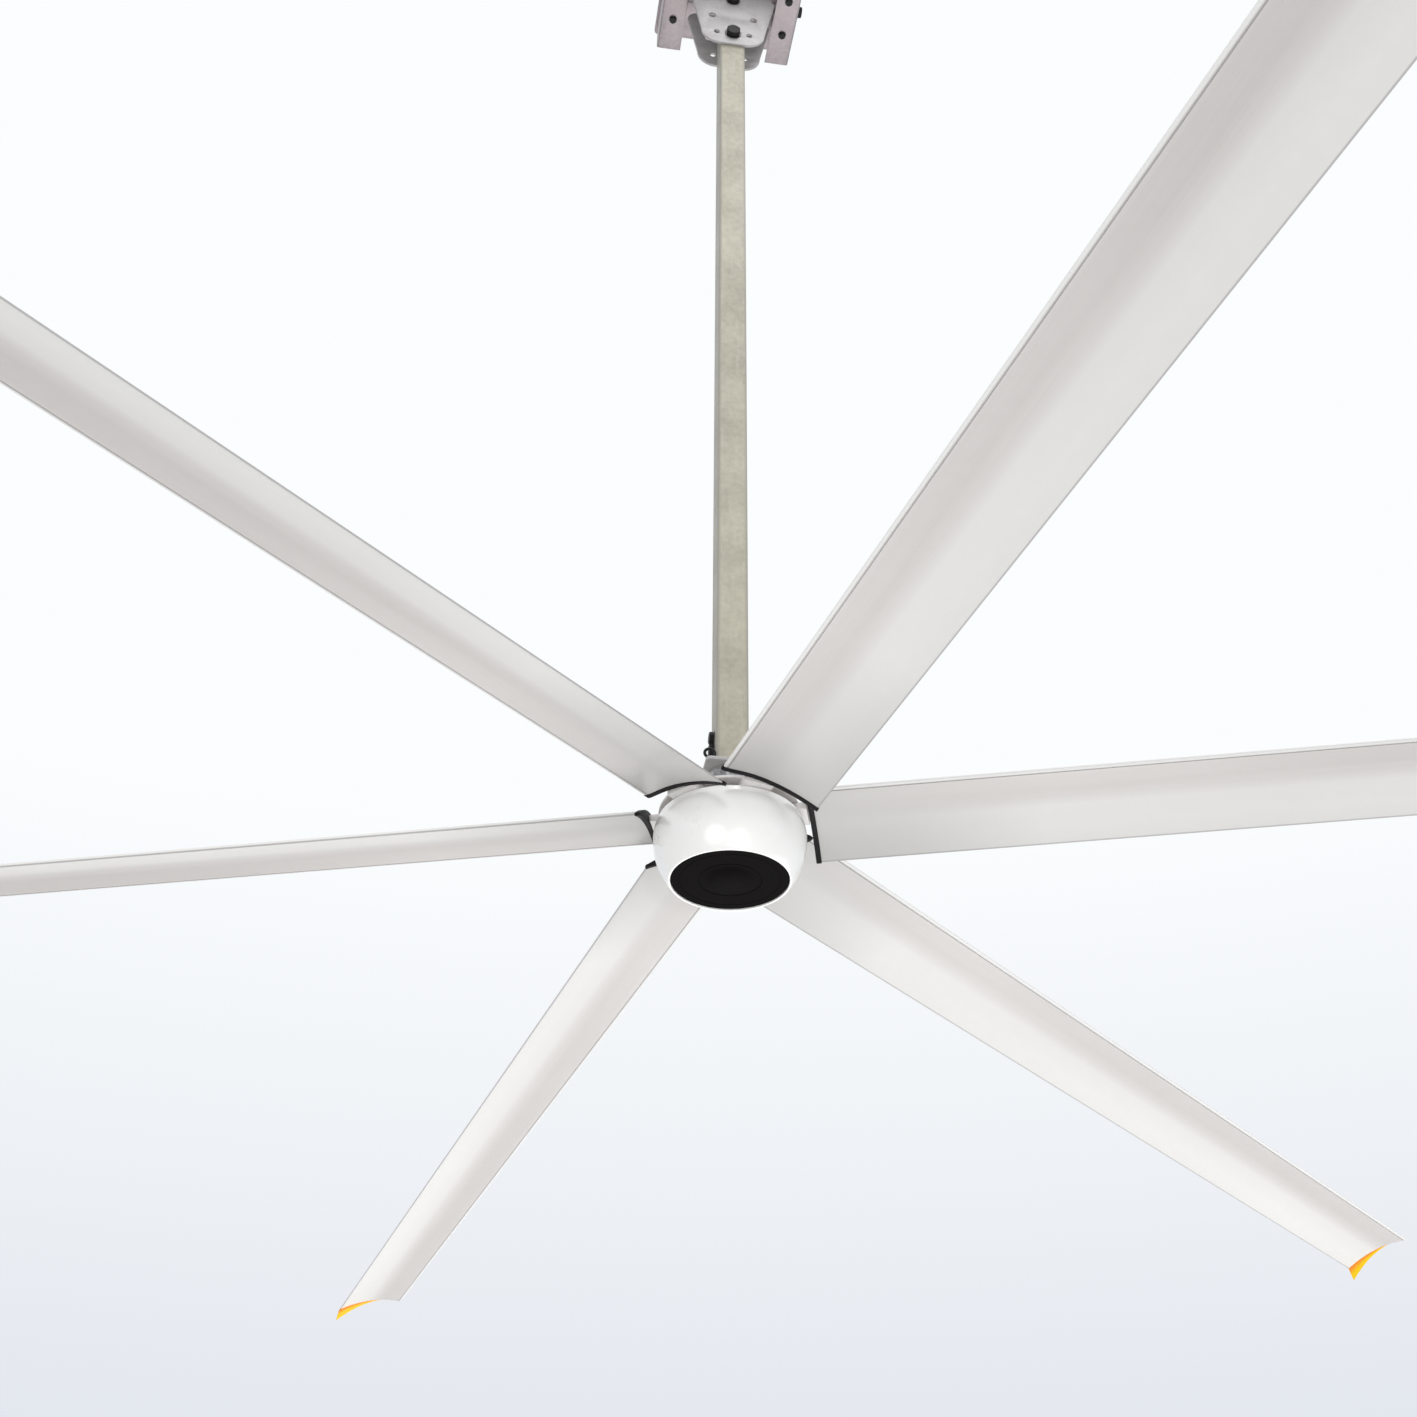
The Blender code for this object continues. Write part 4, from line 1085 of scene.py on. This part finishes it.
class FAN_OT_swivel(bpy.types.Operator):
    """Cross block, swivel plates and the bolts through them"""

    bl_idname = "fan.swivel"
    bl_label = "Swivel"

    def execute(self, context):
        self.cross_block()
        self.swivel_plates()
        self.bolts()
        return {"FINISHED"}

    def cross_block(self):
        """A block on a sleeve, bored along X for the upper bolt and along Y for the lower one."""
        low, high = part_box("cross_block")
        length = high.x - low.x
        block = box(cross_width, high.y - low.y, high.z - low.z)
        bevelled(moved(block, at(0, 0, (low.z + high.z) / 2)), cross_edge, 3)
        sleeve = bevelled(cylinder(sleeve_radius, length, sleeve_facets), casting_edge)
        combined(block, moved(sleeve, at(-length / 2, 0, upper_pivot_z) @ turn_x), "UNION")
        radius, bore = pivot_radius * hole_share, length * 1.2
        drilled(block, radius, bore, at(-bore / 2, 0, upper_pivot_z) @ turn_x)
        drilled(block, radius, length, at(0, length / 2, lower_pivot_z) @ turn_y)
        clean(block)
        settle(block, "swivel_cross", Matrix.Identity(4), "cross", "galvanised_steel", ["cross_block"])

    def outline(self):
        """The pear shaped plate, from its own tube bolt: wide round shoulders above, drawn in below."""
        bottom, top = front_low.z - tube_bolt_z, front_high.z - tube_bolt_z
        right = arc(plate_low_half - plate_low_corner, bottom + plate_low_corner, plate_low_corner, -pi / 2, 0, 18)
        right += arc(plate_top_half - plate_top_corner, top - plate_top_corner, plate_top_corner, 0, pi / 2, 14)
        return right + [(-x, y) for x, y in reversed(right)]

    def swivel_plates(self):
        loops = [
            self.outline(), circle(0, 0, tube_bolt_radius * plate_hole_share),
            circle(0, tube_bolt_drop, pivot_radius * plate_hole_share),
        ]
        for hand in (-1, 1):
            loops.append(circle(hand * side_hole_x, side_hole_rise, side_hole_radius))
            loops.append(circle(hand * low_hole_x, 0, low_hole_radius))
        for name, low, high in (("front", front_low, front_high), ("rear", rear_low, rear_high)):
            piece = plate(loops, high.y - low.y, plate_edge)
            place = at(0, (low.y + high.y) / 2, tube_bolt_z) @ turn_y
            settle(piece, f"{name}_swivel_plate", place, "downrod", "pale_paint", [f"swivel_plate_{name}"])

    def bolts(self):
        span = rear_high.y - front_low.y + 2 * seat_gap
        for name, node_name, radius, height in (
            ("lower_swivel_bolt", "swivel_pivot_bolt", pivot_radius, lower_pivot_z),
            ("downrod_bolt", "tube_bolt", tube_bolt_radius, tube_bolt_z),
        ):
            place = at(0, front_low.y - seat_gap, height) @ turn_y
            add_through_bolt(name, node_name, "downrod", radius, span, place)


class FAN_OT_downrod(bpy.types.Operator):
    """Downrod finish, the motor socket, its bolts and the lifting eye"""

    bl_idname = "fan.downrod"
    bl_label = "Downrod"

    def execute(self, context):
        assign("tube_paint", "downrod_tube")
        self.socket()
        self.bolts()
        self.eye()
        return {"FINISHED"}

    def socket(self):
        """A square flange with a spigot that stands up inside the tube."""
        side = flange_high.x - flange_low.x
        middle = flange_low.z + flange_thickness / 2
        flange = plate([rounded_rectangle(side, side, flange_corner)], flange_thickness, flange_edge)
        moved(flange, at(0, 0, middle))
        inner = tube_side - 2 * tube_wall - 2 * seat_gap
        spigot = plate([rounded_rectangle(inner, inner, tube_corner / 2)], spigot_height, spigot_edge)
        combined(flange, moved(spigot, at(0, 0, middle + spigot_height / 2)), "UNION")
        drilled(flange, wire_bore, 3 * spigot_height, at(0, 0, middle - spigot_height))
        holes = [hub_at(height) @ at(-side / 2, 0, 0) @ turn_x for height in socket_bolt_heights]
        drilled(flange, socket_bolt_radius * hole_share, side, *holes)
        clean(flange)
        settle(flange, "hub_socket", Matrix.Identity(4), "downrod", "pale_paint", ["motor_socket"])

    def bolts(self):
        span = tube_side + 2 * seat_gap
        for name, height in zip(("lower", "upper"), socket_bolt_heights):
            place = hub_at(height) @ at(-span / 2, 0, 0) @ Matrix.Rotation(-pi / 2, 4, "Y")
            add_through_bolt(
                f"{name}_socket_bolt", f"socket_bolt_{name}", "downrod", socket_bolt_radius, span, place
            )

    def eye(self):
        low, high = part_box("eye_bolt")
        middle = (low + high) / 2
        wire = (high.y - low.y) / 4
        ring_radius = (high.x - low.x) / 2 - wire
        deselect()
        bpy.ops.mesh.primitive_torus_add(
            major_radius=ring_radius, minor_radius=wire, major_segments=fine_facets, minor_segments=16,
            location=(middle.x, middle.y, high.z - wire - ring_radius), rotation=(pi / 2, 0, 0),
        )
        ring = grounded(bpy.context.object)
        top = high.z - wire - 2 * ring_radius
        foot, side, neck = (wire * share for share in eye_collar_shares)
        chamfer = low.z + wire * eye_chamfer_share
        profile = [
            (eye_core, low.z), (foot, low.z), (side, chamfer), (side, top - wire), (neck, top), (eye_core, top)
        ]
        collar = close_ends(lathe(profile, rod_facets))
        combined(ring, moved(collar, at(middle.x, middle.y, 0)), "UNION")
        clean(ring)
        settle(ring, "lifting_eye", Matrix.Identity(4), "downrod", "black_steel", ["eye_bolt"])


class FAN_OT_motor(bpy.types.Operator):
    """Motor finishes and the domed cover over the arm feet"""

    bl_idname = "fan.motor"
    bl_label = "Motor"

    def execute(self, context):
        assign("bearing_steel", "motor_shaft", "upper_bearing", "lower_bearing", "retaining_nut")
        assign("cast_aluminium", "rotor_housing", "lower_end_plate")
        assign("core_steel", "stator_core")
        assign("copper_wire", "stator_winding")
        assign("magnet_grey", "magnet_ring")
        self.top_cover()
        return {"FINISHED"}

    def top_cover(self):
        bottom = cover_low.z - hub_z
        crown = cover_high.z - hub_z
        rim = cover_high.x
        shoulder = bottom + cover_shoulder_rise
        edge = bottom + cover_edge_height
        slope_x = (rim + cover_shoulder) / 2
        slope_z = (edge + shoulder) / 2 - cover_wall / 2
        step = cover_step
        cover = lathe([
            (cover_bore, crown), (cover_crown - 2 * step, crown), (cover_crown - step * 0.6, crown - step * 0.6),
            (cover_crown, crown - 2 * step), (cover_shoulder - 2 * step, shoulder + 1.2 * step),
            (cover_shoulder, shoulder - step * 0.4), (cover_shoulder + 3 * step, shoulder - 1.6 * step),
            (slope_x, slope_z), (rim - 5 * step, edge + step * 0.6), (rim - step * 0.6, edge - step * 0.3),
            (rim, edge - step), (rim, bottom), (cover_shoulder, bottom),
            (cover_crown - cover_wall, bearing_bottom + cover_wall), (bearing_seat + cover_wall, bearing_bottom),
            (bearing_seat, bearing_bottom), (bearing_seat, bearing_top), (cover_bore, bearing_top),
            (cover_bore, crown),
        ])
        pieces = [dressed(cover, "cast_aluminium")]
        for k in range(blade_count):
            screw = bolt(cover_screw_radius, cover_screw_reach_share * cover_screw_radius)
            pieces.append(moved(screw, blade_turn(k + 0.5) @ at(cover_screw_circle, 0, crown)))
        settle(joined(pieces), "motor_top_cover", hub_at(), "rotor", "cast_aluminium", ["top_cover"])


class FAN_OT_bowl(bpy.types.Operator):
    """White bowl round the motor and the black disc in its mouth"""

    bl_idname = "fan.bowl"
    bl_label = "Bowl"

    def execute(self, context):
        self.bowl()
        self.disc()
        return {"FINISHED"}

    def radius_at(self, height):
        """The bowl's outer radius: widest at the belly, drawn in to the rim above and the lip below."""
        if height >= belly_height:
            share = (height - belly_height) / (rim_height - belly_height)
            return belly_radius - (belly_radius - rim_radius) * share * share
        share = (belly_height - height) / (belly_height - lip_height)
        return belly_radius - (belly_radius - lip_radius) * share**side_power

    def bowl(self):
        heights = [rim_height + (lip_height - rim_height) * k / bowl_steps for k in range(1, bowl_steps)]
        band = rim_height - band_drop
        bead = lip_height + bead_height
        outer = shifted(rim_rounding, rim_radius, rim_height)
        for height in heights:
            inset = band_depth if abs(height - band) < band_half else 0.0
            if height > bead:
                outer.append((self.radius_at(height) - inset, height))
        outer.append((self.radius_at(bead), bead))
        outer += shifted(lip_rounding, lip_radius, lip_height) + shifted(mouth_rounding, disc_radius, lip_height)
        seat = lip_height + disc_recess + disc_thickness + seat_gap
        ledge = disc_radius - 2 * shell_wall
        top = seat + shell_wall
        inner = [
            (disc_radius + disc_gap, seat), (ledge, seat), (ledge, top), (self.radius_at(top) - shell_wall, top)
        ]
        for height in reversed(heights):
            if height > seat + ledge_rise:
                inner.append((self.radius_at(height) - shell_wall, height))
        inner.append((rim_radius - shell_wall, rim_height))
        settle(lathe(outer + inner + [outer[0]]), "hub_bowl", hub_at(), "rotor", "white_gloss", ["bowl_cover"])

    def disc(self):
        bottom = lip_height + disc_recess
        profile = [(disc_radius - disc_gap, bottom + disc_thickness)]
        profile += shifted(disc_rounding, disc_radius, bottom) + shifted(disc_rings, 0, bottom)
        settle(close_ends(lathe(profile)), "bowl_disc", hub_at(), "rotor", "black_gloss", ["hub_disc"])


class FAN_OT_blades(bpy.types.Operator):
    """Blades with their arms, root caps and bolts"""

    bl_idname = "fan.blades"
    bl_label = "Blades"

    def execute(self, context):
        spread(self.arm(), "blade_arm", "arm", "cast_aluminium")
        spread(self.blade(), "blade_wing", "blade", "blade_satin")
        spread(self.root_cap(), "blade_root_cap", "root_cap", "black_rubber")
        spread(self.bolts(), "blade_bolts", "blade_bolt", "black_steel")
        return {"FINISHED"}

    def bolt_places(self, height):
        turn = Matrix.Rotation(-pi / 2, 4, "X")
        return [at(distance, 0, 0) @ section_turn() @ at(0, height, 0) @ turn for distance in bolt_distances]

    def blade(self):
        """A hollow extrusion with a slot for the arm, drilled for its bolts."""
        web = slot_width / 2 + web_wall
        tail = blade_chord - blade_lead
        loops = [
            section_outline(groove=groove_depth), arm_slot(), cavity(cavity_margin - blade_lead, -web, 12),
            cavity(web, tail - cavity_margin, 16),
        ]
        piece = plate(loops, blade_end - blade_root)
        moved(piece, at((blade_end + blade_root) / 2, 0, 0) @ section_turn())
        drilled(piece, blade_bolt_radius * hole_share, slot_height * 1.6, *self.bolt_places(arm_middle()))
        clean(piece)
        add_blade_map(piece, section_turn().inverted())
        return piece

    def root_cap(self):
        middle = blade_root - seat_gap - cap_thickness / 2
        piece = plate([section_outline(grow=cap_grow), arm_slot()], cap_thickness, cap_edge)
        return moved(piece, at(middle, 0, 0) @ section_turn())

    def arm(self):
        """A foot on the motor with a bar that reaches into the blade."""
        foot = box(arm_foot_outer - arm_foot_inner, arm_foot_width, arm_foot_thickness)
        moved(foot, at((arm_foot_outer + arm_foot_inner) / 2, 0, arm_foot_top - arm_foot_thickness / 2))
        bevelled(foot, casting_edge)
        bar = box(slot_width - 2 * seat_gap, slot_height - 2 * seat_gap, arm_end - arm_start)
        moved(bar, at((arm_end + arm_start) / 2, 0, 0) @ section_turn() @ at(0, arm_middle(), 0))
        combined(foot, bevelled(bar, arm_edge), "UNION")
        holes = self.bolt_places(arm_middle() - slot_height)
        drilled(foot, blade_bolt_radius * hole_share, slot_height * 2, *holes)
        return clean(foot)

    def bolts(self):
        reach = blade_top() - arm_middle() + slot_height / 2
        places = self.bolt_places(blade_top() + seat_gap)
        return joined([moved(bolt(blade_bolt_radius, reach), place) for place in places])


def spread(model, name, node_name, slot):
    """Copies a blade's piece round the hub, each copy with its own mesh, and drops the model."""
    for k in range(blade_count):
        place = hub_at() @ blade_turn(k)
        settle(copied(model), f"{name}_{k + 1}", place, "rotor", slot, [f"{node_name}_{k + 1}"])
    removed(model)


class FAN_OT_winglets(bpy.types.Operator):
    """Drooping tips that close the blade ends"""

    bl_idname = "fan.winglets"
    bl_label = "Winglets"

    def execute(self, context):
        outline = section_outline()
        count = len(outline)
        mesh = bpy.data.meshes.new("winglet")
        mesh.from_pydata([(x, y, 0) for x, y in outline], [(k, (k + 1) % count) for k in range(count)], [])
        piece = linked("winglet", mesh)
        edit(piece)
        for _ in range(tip_sections):
            bpy.ops.mesh.extrude_region_move(TRANSFORM_OT_translate={"value": (0, 0, 1 / tip_sections)})
        bpy.ops.mesh.select_all(action="SELECT")
        bpy.ops.mesh.fill_holes(sides=0)
        bpy.ops.mesh.select_all(action="DESELECT")
        bpy.ops.mesh.select_face_by_sides(number=4, type="GREATER")
        bpy.ops.mesh.quads_convert_to_tris(ngon_method="BEAUTY")
        leave_edit()
        add_blade_map(piece, Matrix.Identity(4))
        for vertex in piece.data.vertices:
            vertex.co = self.swept(*vertex.co)
        clean(moved(piece, at(blade_end + seat_gap, 0, 0) @ section_turn()), 50)
        spread(piece, "blade_tip", "winglet", "tip_yellow")
        return {"FINISHED"}

    def swept(self, x, y, grow):
        """Carries a point of the section out, down and back, most at the tail, and thins it to the edge."""
        chosen = settings()
        share = min(1, max(0, (x + blade_lead) / blade_chord))
        lean = share**growth_power
        mean = camber(share)
        past = max(0, (grow - tip_edge_start) / (1 - tip_edge_start))
        thin = (1 - (1 - tip_edge_share) * grow) * sqrt(max(tip_edge_least, 1 - past * past))
        out = grow * (nose_reach + (chosen.tip_reach - nose_reach) * lean)
        down = chosen.tip_drop * lean * grow**drop_power
        return Vector((x + tip_sweep * lean * grow, mean + (y - mean) * thin - down, out))


class FAN_OT_stage(bpy.types.Operator):
    """Pale floor and surroundings, soft studio lamps and the camera"""

    bl_idname = "fan.stage"
    bl_label = "Stage"

    def execute(self, context):
        self.floor()
        self.surroundings()
        for name, place, size, power, colour in lamp_table:
            light = self.lamp(name, "AREA", place, power, hub_z)
            light.shape = "DISK"
            light.size = size
            light.color = colour
        self.hub_spot()
        self.camera()
        return {"FINISHED"}

    def floor(self):
        deselect()
        bpy.ops.mesh.primitive_grid_add(
            x_subdivisions=8, y_subdivisions=8, size=floor_size, location=(0, 0, -floor_drop)
        )
        floor = grounded(bpy.context.object)
        floor.name = "studio_floor"
        material, tree, inputs, place = new_material("pale_floor", Roughness=0.6)
        patches = cloudy(tree, place, 0.4, 9.0)
        tree.links.new(blended(tree, patches, *floor_tones), inputs["Base Color"])
        floor.data.materials.append(material)

    def surroundings(self):
        """One shade lights the fan, and a paler sky that darkens downwards is what the camera and gloss see."""
        world = bpy.data.worlds.new("pale_room")
        world.use_nodes = True
        bpy.context.scene.world = world
        tree = world.node_tree
        tree.nodes.clear()
        rays = tree.nodes.new("ShaderNodeLightPath").outputs
        seen = math(tree, "MAXIMUM", rays["Is Camera Ray"], rays["Is Glossy Ray"])
        seen = math(tree, "MAXIMUM", seen, rays["Is Transmission Ray"])
        direction = parts_of(tree, tree.nodes.new("ShaderNodeTexCoord").outputs["Generated"])
        sky = blended(tree, ranged(tree, direction[2], *sky_turn), low_sky, high_sky)
        mixed = node(tree, "ShaderNodeMixShader", Fac=seen)
        for place, (colour, strength) in enumerate(((light_colour, room_light), (sky, 1.0)), 1):
            shade = node(tree, "ShaderNodeBackground", Color=colour, Strength=strength)
            tree.links.new(shade.outputs[0], mixed.inputs[place])
        tree.links.new(mixed.outputs[0], tree.nodes.new("ShaderNodeOutputWorld").inputs["Surface"])

    def lamp(self, name, kind, place, power, aim_height):
        """A lamp turned towards a height on the axle."""
        light = bpy.data.lights.new(name, kind)
        light.energy = power
        lamp = linked(name, light)
        lamp.location = place
        aim = Vector((0, 0, aim_height)) - lamp.location
        lamp.rotation_mode = "QUATERNION"
        lamp.rotation_quaternion = aim.to_track_quat("-Z", "Y")
        return light

    def hub_spot(self):
        """A narrow soft spot on the bowl alone."""
        light = self.lamp("hub_spot", "SPOT", spot_place, spot_power, hub_z + lip_height / 2)
        light.spot_size = spot_cone
        light.spot_blend = spot_blend
        light.shadow_soft_size = spot_size

    def camera(self):
        data = bpy.data.cameras.new("photo_camera")
        data.sensor_width = sensor_width
        data.lens = focal_pixels / photo_side * sensor_width
        data.shift_x = (photo_side / 2 - centre_pixel_x) / photo_side
        data.shift_y = (centre_pixel_y - photo_side / 2) / photo_side
        data.clip_end = view_reach
        camera = linked("photo_camera", data)
        turn = Matrix.Rotation(-camera_yaw, 4, "Z") @ Matrix.Rotation(pi / 2 + camera_pitch, 4, "X")
        turn = turn @ Matrix.Rotation(camera_roll, 4, "Z")
        camera.matrix_world = Matrix.Translation(camera_from_hub + Vector((0, 0, hub_z))) @ turn
        bpy.context.scene.camera = camera
        bpy.context.scene.view_settings.view_transform = "Standard"


class FAN_PT_panel(bpy.types.Panel):
    """Sizes, colours and steps of the fan"""

    bl_label = "Large Ceiling Fan"
    bl_idname = "FAN_PT_panel"
    bl_space_type = "VIEW_3D"
    bl_region_type = "UI"
    bl_category = "Fan"

    def draw(self, context):
        chosen = context.scene.large_fan
        for name in FanSettings.__annotations__:
            self.layout.prop(chosen, name)
        for step in steps:
            self.layout.operator(step.bl_idname)


steps = (
    FAN_OT_hanger, FAN_OT_swivel, FAN_OT_downrod, FAN_OT_motor, FAN_OT_bowl, FAN_OT_blades, FAN_OT_winglets,
    FAN_OT_stage,
)
classes = (FanSettings, *steps, FAN_PT_panel)


def register():
    for one in classes:
        bpy.utils.register_class(one)
    bpy.types.Scene.large_fan = PointerProperty(type=FanSettings)


def unregister():
    del bpy.types.Scene.large_fan
    for one in reversed(classes):
        bpy.utils.unregister_class(one)


def main():
    register()
    finish.update(make_materials())
    bpy.ops.fan.hanger()
    bpy.ops.fan.swivel()
    bpy.ops.fan.downrod()
    bpy.ops.fan.motor()
    bpy.ops.fan.bowl()
    bpy.ops.fan.blades()
    bpy.ops.fan.winglets()
    bpy.ops.fan.stage()


if __name__ == "__main__":
    main()
